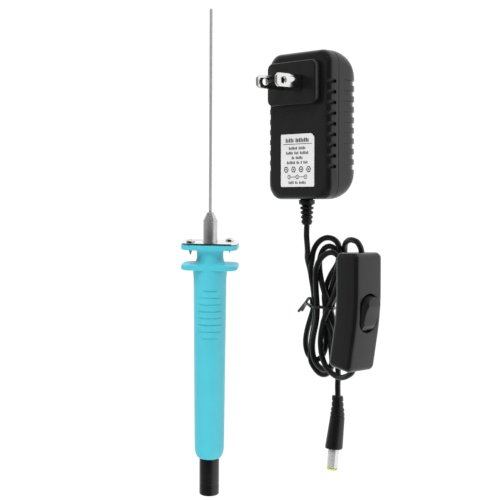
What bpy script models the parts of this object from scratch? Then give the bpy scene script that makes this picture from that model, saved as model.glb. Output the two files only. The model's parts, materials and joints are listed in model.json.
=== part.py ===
"""Hot wire foam cutter: a pen with a heated needle, its plug-in power supply and an inline rocker switch.

Metres, +Z up, standing on z = 0. The origin is under the middle of the pen and the supply together.
The pen lies beside the supply with its needle towards +Y. The supply lies on its back with its prongs up.
Outlines, profiles and routes are written in millimetres and scaled by MM where they become meshes.
"""

import math

import bmesh
import bpy
from mathutils import Vector

MM = 0.001
GAP = 0.3

# Power supply, millimetres. Its own origin is on the surface under the middle of its body.
SUPPLY_AT = (33.8, 66.3, 0.0)
BODY_WIDE = 41.0
BODY_LONG = 70.6
BODY_THICK = 23.4
FRONT_ROUND = 3.2
BACK_ROUND = 9.0
END_ROUND = 16.0
PLAN_ROUND = 7.0
SEAM_Z = 16.6
WALL = 2.0
BOSS_WIDE = 31.8
BOSS_LONG = 20.6
BOSS_HIGH = 4.0
BOSS_X = -0.7
BOSS_Y = 20.0
BLADE_Y = 20.1
BLADE_SPACING = 12.7
BLADE_WIDE = 6.35
BLADE_THICK = 1.5
BLADE_LONG = 17.0
BLADE_TAIL = 9.0
VENT_COUNT = 9
VENT_PITCH = 4.99
LABEL_LOW = (-11.0, -29.3)
LABEL_HIGH = (11.0, -4.0)
BOARD_Z = 6.5
BOARD_THICK = 1.6
CORD_RADIUS = 1.4

# Cutter pen, millimetres along its axis from the tail end.
PEN_TAIL = (-48.64, -129.57, 6.425)
PEN_TILT = math.atan(0.0602)
PEN_YAW = math.radians(4.3)
PEN_ROLL = math.radians(42.0)
FLANGE_WIDE = 30.0
FLANGE_DEEP = 18.8
FLANGE_CHAMFER = 3.2
LOWER_FLANGE = (124.5, 127.1)
UPPER_FLANGE = (135.2, 138.0)
PLATE = (138.2, 138.9)
NEEDLE_TIP = 260.55
NEEDLE_RADIUS = 0.8
SCREW_AT = (9.96, 4.83)

# Inline switch, millimetres. Its origin is at the bend, midway along, and x points to the rocker side.
SWITCH_AT = (60.8, -22.1, 0.0)
SWITCH_BEND = math.radians(-10.0)
SWITCH_HALF_LONG = 28.0
SWITCH_HALF_THICK = 7.1
SWITCH_HIGH = 19.2
SWITCH_SEAM = 2.0
SWITCH_WALL = 1.4
BASE_EDGE = 3.0
COVER_EDGE = 2.6
ROCKER_AXIS_X = 4.6
ROCKER_TILT = math.radians(-13.0)
LEVER_AXIS_X = -3.3
LEVER_TILT = math.radians(8.0)
MIDDLE_Z = 9.6

# Barrel plug, millimetres. Its own y runs from the cord end to the tip.
PLUG_AT = (41.9, -65.3, 2.95)
PLUG_END = (40.6, -91.7, 4.32)
PLUG_BOOT_LONG = 26.2
BOOT_GROOVES = ((2.3, 3.2, 2.85), (4.9, 5.7, 3.0), (7.1, 8.0, 3.4), (9.5, 10.0, 3.55))

# Cord routes, millimetres, in the object's frame.
LEAD_ROUTE = [
    (33.8, 18.0, 16.6),
    (33.5, 16.8, 16.4),
    (32.3, 13.0, 15.2),
    (31.2, 9.5, 13.6),
    (29.5, 5.5, 11.3),
    (28.9, 3.4, 10.8),
]
LOOP_ROUTE = [
    (48.3, 9.6, 5.6),
    (50.1, 10.6, 6.5),
    (54.0, 11.8, 8.0),
    (57.5, 11.9, 8.9),
    (60.9, 10.8, 9.6),
    (62.8, 8.5, 9.6),
    (62.8, 6.5, 9.6),
]
TAIL_ROUTE = [
    (57.8, -50.6, 9.6),
    (57.1, -52.2, 9.3),
    (53.7, -54.1, 8.8),
    (49.7, -55.6, 7.8),
    (45.2, -56.4, 7.1),
]
PLUG_ROUTE = [
    (40.3, -55.8, 1.5),
    (40.5, -58.5, 1.5),
    (40.8, -61.6, 1.9),
    (41.7, -64.4, 2.75),
]
HANK_OUTLINE = [
    (24.0, -1.0),
    (25.2, 6.5),
    (29.6, 11.6),
    (35.8, 13.6),
    (41.8, 12.4),
    (46.0, 7.8),
    (46.8, 0.5),
    (43.4, -9.5),
    (40.4, -21.7),
    (40.6, -32.0),
    (43.0, -41.5),
    (43.2, -50.0),
    (40.2, -55.4),
    (35.0, -57.0),
    (28.6, -55.8),
    (23.0, -51.4),
    (20.0, -43.5),
    (21.4, -33.5),
    (24.6, -22.7),
    (24.8, -11.5),
]
HANK_LOW = 1.5
HANK_HIGH = 9.0
TIE_Y = (-23.6, -20.8)


def clear_scene():
    for item in list(bpy.data.objects):
        bpy.data.objects.remove(item)


def material(name, colour, roughness, metallic=0.0):
    """A Principled material, made once for each name."""
    made = bpy.data.materials.get(name)
    if made:
        return made
    made = bpy.data.materials.new(name)
    made.use_nodes = True
    shader = made.node_tree.nodes["Principled BSDF"]
    shader.inputs["Base Color"].default_value = (*colour, 1.0)
    shader.inputs["Roughness"].default_value = roughness
    shader.inputs["Metallic"].default_value = metallic
    return made


def blue_plastic():
    return material("blue_plastic", (0.10, 0.62, 0.76), 0.42)


def black_plastic():
    return material("black_plastic", (0.03, 0.03, 0.032), 0.55)


def black_rubber():
    return material("black_rubber", (0.025, 0.025, 0.026), 0.65)


def nickel():
    return material("nickel", (0.75, 0.74, 0.72), 0.22, 1.0)


def steel():
    return material("steel", (0.62, 0.62, 0.63), 0.28, 1.0)


def copper():
    return material("copper", (0.80, 0.42, 0.25), 0.35, 1.0)


def label_film():
    return material("label_film", (0.86, 0.86, 0.85), 0.4)


def plain(name, colour):
    return material(name, colour, 0.55)


# Shapes: each returns (points, faces) of one closed surface, in millimetres.


def prism(outline, low, high, axis):
    """An outline extruded along an axis. The outline holds the other two coordinates, in X, Y, Z order."""
    slot = "xyz".index(axis)
    count = len(outline)
    points = []
    for level in (low, high):
        for a, b in outline:
            point = [a, b]
            point.insert(slot, level)
            points.append(tuple(point))
    faces = [tuple(range(count)), tuple(range(count, 2 * count))]
    for i in range(count):
        j = (i + 1) % count
        faces.append((i, j, count + j, count + i))
    return points, faces


def box(low, high):
    outline = [(low[0], low[1]), (high[0], low[1]), (high[0], high[1]), (low[0], high[1])]
    return prism(outline, low[2], high[2], "z")


def circle(radius, steps, centre=(0.0, 0.0)):
    turns = [2 * math.pi * i / steps for i in range(steps)]
    return [(centre[0] + radius * math.cos(t), centre[1] + radius * math.sin(t)) for t in turns]


def turned(profile, steps, ring=False):
    """A profile of (place along y, radius) spun round y. A ring is a closed profile that never meets y."""
    points = []
    rows = []
    for along, radius in profile:
        if radius == 0:
            rows.append([len(points)])
            points.append((0.0, along, 0.0))
            continue
        rows.append(list(range(len(points), len(points) + steps)))
        for a, b in circle(radius, steps):
            points.append((a, along, b))
    faces = []
    pairs = list(zip(rows, rows[1:]))
    if ring:
        pairs.append((rows[-1], rows[0]))
    for first, second in pairs:
        for i in range(steps):
            j = (i + 1) % steps
            near = [first[i % len(first)], first[j % len(first)]]
            far = [second[j % len(second)], second[i % len(second)]]
            faces.append(tuple(dict.fromkeys(near + far)))
    return points, faces


def stadium(half_long, half_wide, steps, centre=(0.0, 0.0)):
    """A round-ended slot, long in its first coordinate."""
    points = []
    for side in (1, -1):
        for i in range(steps + 1):
            turn = math.pi * (i / steps - 0.5)
            a = side * (half_long - half_wide + half_wide * math.cos(turn))
            b = side * half_wide * math.sin(turn)
            points.append((centre[0] + a, centre[1] + b))
    return points


def rounded_rectangle(half_a, half_b, radius, steps, middles=False):
    """Corner arcs of one rectangle. With middles, it also has a point halfway along each b side."""
    points = []
    for quarter, (side_a, side_b) in enumerate(((1, 1), (-1, 1), (-1, -1), (1, -1))):
        for i in range(steps + 1):
            turn = math.pi / 2 * (quarter + i / steps)
            a = side_a * (half_a - radius) + radius * math.cos(turn)
            b = side_b * (half_b - radius) + radius * math.sin(turn)
            points.append((a, b))
        if middles and quarter in (0, 2):
            points.append((0.0, side_b * half_b))
    return points


def octagon(half_wide, half_deep, chamfer):
    points = []
    for side_a, side_b in ((1, 1), (-1, 1), (-1, -1), (1, -1)):
        near = (side_a * half_wide, side_b * (half_deep - chamfer))
        far = (side_a * (half_wide - chamfer), side_b * half_deep)
        points += [near, far] if side_a * side_b > 0 else [far, near]
    return points


def stack(rings):
    """A closed solid through rings of equally many points, with its first and last ring filled."""
    count = len(rings[0])
    points = [point for ring in rings for point in ring]
    faces = [tuple(range(count)), tuple(range(len(points) - count, len(points)))]
    for row in range(len(rings) - 1):
        for i in range(count):
            j = (i + 1) % count
            base = row * count
            faces.append((base + i, base + j, base + count + j, base + count + i))
    return points, faces


def cup(outer, inner):
    """An open shell. Both lists of rings run from its rim to its closed end."""
    rings = outer[::-1] + inner
    points, faces = stack(rings)
    return points, faces


def shift(shape, by):
    points, faces = shape
    return [tuple(a + b for a, b in zip(point, by)) for point in points], faces


def along_x(shape):
    """A shape turned about y, laid along x."""
    points, faces = shape
    return [(y, -x, z) for x, y, z in points], faces


# Objects


def make(name, shapes, finish, parent=None, hidden=False):
    """One object from closed shapes given in millimetres."""
    surface = bmesh.new()
    for points, faces in shapes:
        corners = [surface.verts.new(Vector(point) * MM) for point in points]
        for face in faces:
            surface.faces.new([corners[i] for i in face])
    bmesh.ops.recalc_face_normals(surface, faces=surface.faces[:])
    mesh = bpy.data.meshes.new(name)
    surface.to_mesh(mesh)
    surface.free()
    mesh.materials.append(finish)
    mesh.shade_smooth()
    mesh.set_sharp_from_angle(angle=math.radians(35))
    item = bpy.data.objects.new(name, mesh)
    bpy.context.scene.collection.objects.link(item)
    item.parent = parent
    if hidden:
        item.hide_render = True
        item.display_type = "WIRE"
    return item


def cutter(name, shapes, parent=None):
    return make(name, shapes, plain("cutter", (1.0, 0.2, 0.2)), parent, hidden=True)


def cut(target, tool, operation="DIFFERENCE"):
    change = target.modifiers.new(tool.name, "BOOLEAN")
    change.object = tool
    change.operation = operation


def frame_at(name, place, turn=(0.0, 0.0, 0.0), order="XYZ", parent=None):
    """An empty that carries the pieces of one assembly."""
    holder = bpy.data.objects.new(name, None)
    bpy.context.scene.collection.objects.link(holder)
    holder.parent = parent
    holder.location = Vector(place) * MM
    holder.rotation_mode = order
    holder.rotation_euler = turn
    return holder


def smooth_route(route, spacing):
    """Evenly spaced points on a smooth curve through the route's own points."""
    ends = [2 * Vector(route[0]) - Vector(route[1]), 2 * Vector(route[-1]) - Vector(route[-2])]
    held = [ends[0]] + [Vector(point) for point in route] + [ends[1]]
    fine = []
    steps = 24
    for i in range(1, len(held) - 2):
        before, start, end, after = held[i - 1 : i + 3]
        for step in range(steps):
            t = step / steps
            bend = 2 * before - 5 * start + 4 * end - after
            swing = 3 * start - before - 3 * end + after
            fine.append(0.5 * (2 * start + (end - before) * t + bend * t**2 + swing * t**3))
    fine.append(held[-2])
    run = [0.0]
    for first, second in zip(fine, fine[1:]):
        run.append(run[-1] + (second - first).length)
    count = max(3, round(run[-1] / spacing) + 1)
    even = []
    place = 0
    for i in range(count):
        wanted = run[-1] * i / (count - 1)
        while place < len(run) - 2 and run[place + 1] < wanted:
            place += 1
        share = (wanted - run[place]) / (run[place + 1] - run[place])
        even.append(fine[place].lerp(fine[place + 1], min(1.0, share)))
    return even


def tube(name, route, radius, finish, parent=None, spacing=None):
    """A round cord or wire along a smooth route, with filled ends."""
    curve = bpy.data.curves.new(name, "CURVE")
    curve.dimensions = "3D"
    curve.bevel_depth = radius * MM
    curve.bevel_resolution = 2
    curve.use_fill_caps = True
    spline = curve.splines.new("POLY")
    points = smooth_route(route, spacing or 5 * radius)
    spline.points.add(len(points) - 1)
    for held, point in zip(spline.points, points):
        held.co = (*(point * MM), 1.0)
    curve.materials.append(finish)
    item = bpy.data.objects.new(name, curve)
    bpy.context.scene.collection.objects.link(item)
    item.parent = parent
    return item


# Cutter pen


def flange(low, high, inset=0.0):
    outline = octagon(FLANGE_WIDE / 2 - inset, FLANGE_DEEP / 2 - inset, FLANGE_CHAMFER - 0.6 * inset)
    return prism(outline, low, high, "y")


def handle(pen):
    """The hollow handle: a turned grip and waist with two eight-sided flanges."""
    outside = [
        (20.9, 0.0), (20.9, 6.2), (21.6, 6.9), (23.4, 7.6), (26.0, 8.0),
        (64.0, 8.3), (100.0, 8.6), (118.5, 8.75), (120.6, 8.9), (123.0, 9.2), (125.3, 9.3),
        (127.0, 8.7), (128.2, 7.7), (130.4, 7.05), (133.2, 7.15), (135.4, 7.7),
        (137.5, 7.7), (137.5, 0.0),
    ]
    body = make("handle", [turned(outside, 28)], blue_plastic(), pen)
    for number, (low, high) in enumerate((LOWER_FLANGE, UPPER_FLANGE)):
        cut(body, cutter(f"flange_{number}", [flange(low, high)], pen), "UNION")
    inside = [
        (19.0, 0.0), (19.0, 5.3), (30.6, 5.3), (31.4, 6.0), (122.8, 6.0), (126.8, 4.2),
        (132.8, 4.2), (134.0, 2.3), (136.8, 2.3), (136.8, 5.6), (140.0, 5.6), (140.0, 0.0),
    ]
    cut(body, cutter("handle_bore", [turned(inside, 20)], pen))
    screw_bores = [prism(circle(1.35, 10, screw_place(side)), 134.0, 141.0, "y") for side in (-1, 1)]
    cut(body, cutter("screw_bores", screw_bores, pen))
    return body


def screw_place(side):
    return side * SCREW_AT[0], -side * SCREW_AT[1]


def clamp_plate(pen):
    plate = make("clamp_plate", [flange(*PLATE, inset=0.1)], nickel(), pen)
    bores = [prism(circle(4.1, 24), PLATE[0] - 1, PLATE[1] + 1, "y")]
    for side in (-1, 1):
        bores.append(prism(circle(1.4, 12, screw_place(side)), PLATE[0] - 1, PLATE[1] + 1, "y"))
    cut(plate, cutter("plate_bores", bores, pen))


def plate_screw(name, side, pen):
    """A pan-head self-tapping screw with a cross recess and a sharp point below the flange."""
    x, z = screw_place(side)
    holder = frame_at(f"{name}_axis", (x, 0.0, z), parent=pen)
    profile = [
        (132.2, 0.0), (134.5, 1.0), (139.1, 1.0), (139.1, 2.45), (139.8, 2.4), (140.35, 1.6), (140.5, 0.0),
    ]
    screw = make(name, [turned(profile, 14)], nickel(), holder)
    bars = [box((-1.5, 139.7, -0.3), (1.5, 141.0, 0.3)), box((-0.3, 139.7, -1.5), (0.3, 141.0, 1.5))]
    for number, bar in enumerate(bars):
        cut(screw, cutter(f"{name}_slot_{number}", [bar], holder))


def needle_end(pen):
    """The ferrule that holds the needle, and what is inside it."""
    ferrule = [
        (137.1, 5.3), (137.85, 5.3), (137.85, 3.83), (150.0, 3.83), (154.6, 1.65),
        (154.6, 1.05), (151.7, 1.05), (149.5, 2.95), (137.1, 2.95),
    ]
    make("ferrule", [turned(ferrule, 28, ring=True)], nickel(), pen)
    bush = [(138.0, 2.65), (148.6, 2.65), (148.6, 1.05), (138.0, 1.05)]
    make("ceramic_bush", [turned(bush, 14, ring=True)], plain("ceramic", (0.85, 0.83, 0.78)), pen)
    needle = [
        (135.4, NEEDLE_RADIUS), (NEEDLE_TIP - 1.0, NEEDLE_RADIUS), (NEEDLE_TIP - 0.3, 0.6), (NEEDLE_TIP, 0.3),
        (NEEDLE_TIP, 0.0), (NEEDLE_TIP - 2.4, 0.0), (NEEDLE_TIP - 2.4, 0.5), (135.4, 0.5),
    ]
    make("needle", [needle_shape(needle)], steel(), pen)
    core = [(133.4, 0.0), (133.4, 0.32), (NEEDLE_TIP - 3.2, 0.32), (NEEDLE_TIP - 3.2, 0.0)]
    make("heater_core", [turned(core, 8)], copper(), pen)


def needle_shape(profile):
    """A tube closed at its tip: its profile starts and ends at the open rim."""
    steps = 12
    tip = [row for row in range(len(profile)) if profile[row][1] == 0]
    outer, faces_out = turned(profile[: tip[0] + 1], steps)
    inner, faces_in = turned(profile[tip[1] :], steps)
    shift = len(outer)
    faces = faces_out + [tuple(i + shift for i in face) for face in faces_in]
    last = shift + len(inner) - steps
    for i in range(steps):
        j = (i + 1) % steps
        faces.append((i, j, last + j, last + i))
    return outer + inner, faces


def pen_tail(pen):
    """The black sleeve with the power socket, and its contacts."""
    sleeve = [
        (0.0, 3.2), (0.0, 5.1), (0.3, 5.35), (20.6, 5.35), (20.6, 5.0), (30.0, 5.0),
        (30.0, 4.0), (14.0, 4.0), (14.0, 1.3), (12.0, 1.3), (12.0, 3.2),
    ]
    make("tail_sleeve", [turned(sleeve, 24, ring=True)], black_plastic(), pen)
    pin = [
        (1.8, 0.0), (2.1, 0.7), (2.6, 1.0), (14.3, 1.0), (14.3, 2.2),
        (15.3, 2.2), (15.3, 0.8), (19.0, 0.8), (19.0, 0.0),
    ]
    make("socket_pin", [turned(pin, 12)], nickel(), pen)
    make("socket_side_contact", [box((-0.8, 3.0, 2.6), (0.8, 11.6, 2.95))], nickel(), pen)


def pen_wires(pen):
    route = [
        (1.6, 20.0, 0.6), (1.8, 26.0, 0.8), (2.6, 45.0, 1.5),
        (2.0, 75.0, -1.5), (2.4, 105.0, 1.0), (1.4, 131.7, 0.6),
    ]
    opposite = [(-x, y, -z) for x, y, z in route]
    tube("lead_wire_red", route, 0.6, plain("red_insulation", (0.6, 0.03, 0.02)), pen, 6.0)
    tube("lead_wire_black", opposite, 0.6, black_rubber(), pen, 6.0)


def cutter_pen():
    pen = frame_at("pen_frame", PEN_TAIL, (PEN_TILT, PEN_ROLL, -PEN_YAW), "YXZ")
    handle(pen)
    clamp_plate(pen)
    plate_screw("plate_screw_near", -1, pen)
    plate_screw("plate_screw_far", 1, pen)
    needle_end(pen)
    pen_tail(pen)
    pen_wires(pen)


# Power supply


def body_ring(z, inset=0.0):
    """The outline of the supply's body at one height, as far in from its surface as inset."""
    thick = BODY_THICK - inset
    halves = []
    for half, low_round in ((BODY_WIDE / 2, BACK_ROUND), (BODY_LONG / 2, END_ROUND)):
        reach = half - inset
        low = low_round - inset
        top = max(FRONT_ROUND - inset, 0.4)
        if z - inset < low:
            reach -= low - math.sqrt(max(0.0, low**2 - (low - (z - inset)) ** 2))
        if z > thick - top:
            reach -= top - math.sqrt(max(0.0, top**2 - (z - thick + top) ** 2))
        halves.append(reach)
    outline = rounded_rectangle(halves[0], halves[1], PLAN_ROUND - inset, 5)
    return [(a, b, z) for a, b in outline]


def arc_heights(start, low, high, count):
    """Heights that close in on the end of a rounding, where its slope is flattest."""
    return [start + (low + (high - low) * math.sin(math.pi / 2 * i / count)) for i in range(count + 1)]


def front_cover(supply):
    rim = SEAM_Z + GAP / 2
    top = BODY_THICK
    outer = [body_ring(z) for z in [rim] + arc_heights(top - FRONT_ROUND, 0.0, FRONT_ROUND, 4)]
    inner = [body_ring(z, WALL) for z in [rim] + arc_heights(top - WALL - 0.5, 0.0, 0.5, 2)]
    cover = make("front_cover", [cup(outer, inner)], black_plastic(), supply)
    boss_top = top + BOSS_HIGH
    boss = [
        [(a + BOSS_X, b + BOSS_Y, z) for a, b in rounded_rectangle(BOSS_WIDE / 2 - i, BOSS_LONG / 2 - i, 3.2 - i, 4)]
        for z, i in ((top - 1.0, 0.0), (boss_top - 0.6, 0.0), (boss_top - 0.15, 0.2), (boss_top, 0.6))
    ]
    cut(cover, cutter("plug_boss", [stack(boss)], supply), "UNION")
    slots = []
    for side in (-1, 1):
        x = side * BLADE_SPACING / 2
        low = (x - BLADE_THICK / 2 - 0.2, BLADE_Y - BLADE_WIDE / 2 - 0.2, top - 5.0)
        high = (x + BLADE_THICK / 2 + 0.2, BLADE_Y + BLADE_WIDE / 2 + 0.2, top + 6.0)
        slots.append(box(low, high))
    cut(cover, cutter("blade_slots", slots, supply))
    notches, holes = vent_cutters()
    cut(cover, cutter("vent_notches", notches, supply))
    cut(cover, cutter("vent_holes", holes, supply))
    low = (LABEL_LOW[0] - 0.2, LABEL_LOW[1] - 0.2, top - 0.35)
    high = (LABEL_HIGH[0] + 0.2, LABEL_HIGH[1] + 0.2, top + 1.0)
    cut(cover, cutter("label_pocket", [box(low, high)], supply))
    cut(cover, cord_hole("front_cord_hole", supply))
    return cover


def vent_cutters():
    """Notches across both long front edges, each with a hole through the side wall at its end."""
    edge = BODY_WIDE / 2
    top = BODY_THICK
    notches = []
    holes = []
    for side in (-1, 1):
        for i in range(VENT_COUNT):
            y = (i - (VENT_COUNT - 1) / 2) * VENT_PITCH
            corner = [(edge - 2.5, top + 0.3), (edge + 0.4, top - 4.4), (edge + 1.4, top + 1.2)]
            notches.append(prism([(side * a, b) for a, b in corner], y - 1.3, y + 1.3, "y"))
            ends = sorted((side * (edge - 3.0), side * (edge + 1.0)))
            holes.append(box((ends[0], y - 0.75, top - 4.6), (ends[1], y + 0.75, top - 3.5)))
    return notches, holes


def cord_hole(name, supply):
    wall = -BODY_LONG / 2
    return cutter(name, [prism(circle(3.45, 16, (0.0, SEAM_Z)), wall - 2, wall + 4, "y")], supply)


def back_cover(supply):
    rim = SEAM_Z - GAP / 2
    outer_z = [rim, END_ROUND, 12.5, BACK_ROUND, 6.0, 3.6, 1.8, 0.6, 0.0]
    outer = [body_ring(z) for z in outer_z]
    inner = [body_ring(z, WALL) for z in [rim, END_ROUND, 12.5, BACK_ROUND, 6.2, 4.0, 2.6, WALL]]
    cover = make("back_cover", [cup(outer, inner)], black_plastic(), supply)
    cut(cover, cutter("grip_grooves", grip_grooves(), supply))
    spots = [(x, y) for x in (-13, 13) for y in (-20, 20)]
    posts = [prism(circle(1.6, 10, spot), WALL - 0.5, BOARD_Z - GAP, "z") for spot in spots]
    cut(cover, cutter("board_posts", posts, supply), "UNION")
    cut(cover, cord_hole("back_cord_hole", supply))
    return cover


def grip_grooves():
    """Shallow grooves up both long back edges, each following the body's rounding."""
    depth = 0.7
    grooves = []
    for side in (-1, 1):
        centre = BODY_WIDE / 2 - BACK_ROUND
        inner = [(centre + BACK_ROUND - depth, 13.0)]
        outer = [(centre + BACK_ROUND + 1.5, 13.0)]
        for i in range(6):
            turn = math.radians(-65) * i / 5
            for row, radius in ((inner, BACK_ROUND - depth), (outer, BACK_ROUND + 1.5)):
                row.append((centre + radius * math.cos(turn), BACK_ROUND + radius * math.sin(turn)))
        outline = [(side * a, b) for a, b in inner + outer[::-1]]
        for i in range(VENT_COUNT):
            y = (i - (VENT_COUNT - 1) / 2) * VENT_PITCH
            grooves.append(prism(outline, y - 1.2, y + 1.2, "y"))
    return grooves


def blade(name, side, supply):
    """A flat prong with chamfered corners and a round hole near its tip."""
    root = BODY_THICK + BOSS_HIGH - BLADE_TAIL
    tip = BODY_THICK + BOSS_HIGH + BLADE_LONG
    low, high = BLADE_Y - BLADE_WIDE / 2, BLADE_Y + BLADE_WIDE / 2
    far = tip - 1.4
    outline = [(low, root), (high, root), (high, far), (high - 1.4, tip), (low + 1.4, tip), (low, far)]
    x = side * BLADE_SPACING / 2
    prong = make(name, [prism(outline, x - BLADE_THICK / 2, x + BLADE_THICK / 2, "x")], nickel(), supply)
    hole = prism(circle(1.6, 16, (BLADE_Y, tip - 4.8)), x - 2, x + 2, "x")
    cut(prong, cutter(f"{name}_hole", [hole], supply))


def label(supply):
    left, bottom = LABEL_LOW
    right, top = LABEL_HIGH
    outline = [(left, bottom), (right, bottom), (right, top - 2.4), (right - 2.4, top), (left, top)]
    make("label", [prism(outline, BODY_THICK - 0.25, BODY_THICK, "z")], label_film(), supply)


def supply_inside(supply):
    """The circuit board and its parts, with the leads to the prongs and to the cord."""
    floor = BOARD_Z + BOARD_THICK + GAP
    green = plain("circuit_board", (0.03, 0.22, 0.10))
    board = box((-16.5, -27.0, BOARD_Z), (16.5, 27.0, BOARD_Z + BOARD_THICK))
    make("circuit_board", [board], green, supply)
    parts = [
        ("transformer", (-8.0, -10.0, 0.0), (8.0, 5.5, 11.5), (0.75, 0.6, 0.1)),
        ("bridge_rectifier", (9.0, 11.0, 0.0), (15.5, 18.0, 3.0), (0.03, 0.03, 0.03)),
        ("controller_chip", (10.0, -6.0, 0.0), (15.0, 0.0, 1.8), (0.03, 0.03, 0.03)),
    ]
    for name, low, high, colour in parts:
        make(name, [shift(box(low, high), (0, 0, floor))], plain(name, colour), supply)
    lying = [
        ("input_capacitor", 4.6, 12.0, (-8.6, 6.6), (0.02, 0.02, 0.06)),
        ("output_capacitor", 4.0, 12.0, (5.5, -24.6), (0.05, 0.05, 0.1)),
        ("choke", 3.4, 7.0, (-7.5, -20.0), (0.25, 0.12, 0.05)),
        ("fuse_resistor", 1.7, 8.0, (-0.6, 12.0), (0.1, 0.3, 0.15)),
        ("output_diode", 1.5, 6.0, (12.4, -16.5), (0.04, 0.04, 0.04)),
    ]
    for name, radius, long, (x, y), colour in lying:
        barrel = prism(circle(radius, 14), 0.0, long, "y")
        make(name, [shift(barrel, (x, y, floor + radius))], plain(name, colour), supply)
    blade_end = BODY_THICK + BOSS_HIGH - BLADE_TAIL - GAP
    for name, side in (("prong_lead_left", -1), ("prong_lead_right", 1)):
        x = side * BLADE_SPACING / 2
        drop = [(1.5, blade_end - 0.1), (2.5, 15.0), (5.0, 11.0), (5.4, floor + 0.1)]
        tube(name, [(x, BLADE_Y + y, z) for y, z in drop], 0.7, black_rubber(), supply, 2.5)
    for name, side in (("output_lead_positive", 1), ("output_lead_negative", -1)):
        drop = [(1.2, -30.5, SEAM_Z), (1.3, -28.5, 15.2), (1.4, -26.4, 11.5), (1.4, -26.0, floor + 0.1)]
        tube(name, [(side * x, y, z) for x, y, z in drop], 0.6, black_rubber(), supply, 2.5)


def strain_relief(supply):
    """A ribbed, tapered boot held in the end wall by its inner flange."""
    wall_in = BODY_LONG / 2 - WALL
    wall_out = BODY_LONG / 2
    profile = [
        (wall_in - 2.4, 0.0), (wall_in - 2.4, 4.6), (wall_in - 0.9, 4.6), (wall_in - 0.9, 3.1),
        (wall_out + GAP, 3.1), (wall_out + GAP, 3.9), (wall_out + 2.2, 3.8), (wall_out + 2.9, 2.9),
    ]
    for i in range(4):
        start = wall_out + 3.4 + 2.2 * i
        radius = 3.3 - 0.2 * i
        profile += [(start, 2.3), (start + 0.3, radius), (start + 1.3, radius), (start + 1.6, 2.3)]
    profile += [(wall_out + 12.3, 2.2), (wall_out + 12.3, 0.0)]
    points, faces = turned(profile, 16)
    points = [(x, -y, z + SEAM_Z) for x, y, z in points]
    make("strain_relief", [(points, faces)], black_rubber(), supply)


def power_supply():
    supply = frame_at("supply_frame", SUPPLY_AT)
    front_cover(supply)
    back_cover(supply)
    blade("prong_left", -1, supply)
    blade("prong_right", 1, supply)
    label(supply)
    supply_inside(supply)
    strain_relief(supply)


# Inline switch


def bent(point):
    """The switch is straight above its middle and leans back below it, with a mitred fold between."""
    x, y, z = point
    if abs(y) < 1e-6:
        return x, x * math.tan(SWITCH_BEND / 2), z
    turn = 0.0 if y > 0 else SWITCH_BEND
    return x * math.cos(turn) - y * math.sin(turn), x * math.sin(turn) + y * math.cos(turn), z


def housing_ring(x, inset):
    corner = max(3.0 - inset, 0.8)
    outline = rounded_rectangle(SWITCH_HALF_LONG - inset, SWITCH_HIGH / 2 - inset, corner, 4, middles=True)
    return [bent((x, y, z + SWITCH_HIGH / 2)) for y, z in outline]


def housing_half(rim, end, edge):
    """Outer and inner rings from the seam to one closed face of the switch housing."""
    way = 1 if end > rim else -1
    outer = [housing_ring(rim, 0.0)]
    for i in range(4):
        turn = math.pi / 2 * i / 3
        back, inset = edge * (1 - math.sin(turn)), edge * (1 - math.cos(turn))
        outer.append(housing_ring(end - way * back, inset))
    inner = [housing_ring(rim, SWITCH_WALL), housing_ring(end - way * SWITCH_WALL, SWITCH_WALL)]
    points, faces = cup(outer, inner)
    return points, folded(faces[0]) + folded(faces[1]) + faces[2:]


def folded(face):
    """An end face split at its two middle points, where the housing folds."""
    first, second = 5, 16
    return [face[first : second + 1], face[second:] + face[: first + 1]]


def switch_cord_holes(name, switch):
    holes = []
    for side in (-1, 1):
        ends = sorted((side * (SWITCH_HALF_LONG - 3), side * (SWITCH_HALF_LONG + 2)))
        points, faces = prism(circle(1.7, 12, (SWITCH_SEAM, MIDDLE_Z)), *ends, "y")
        holes.append(([bent(point) for point in points], faces))
    return cutter(name, holes, switch)


SCREW_SPOTS = ((19.0, 5.2), (-19.0, 14.0))


def screw_post(radius, low, high, spot, steps=10):
    points, faces = prism(circle(radius, steps, spot), low, high, "x")
    turn = 0.0 if spot[0] > 0 else SWITCH_BEND
    placed = []
    for x, y, z in points:
        placed.append((x * math.cos(turn) - y * math.sin(turn), x * math.sin(turn) + y * math.cos(turn), z))
    return placed, faces


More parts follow.
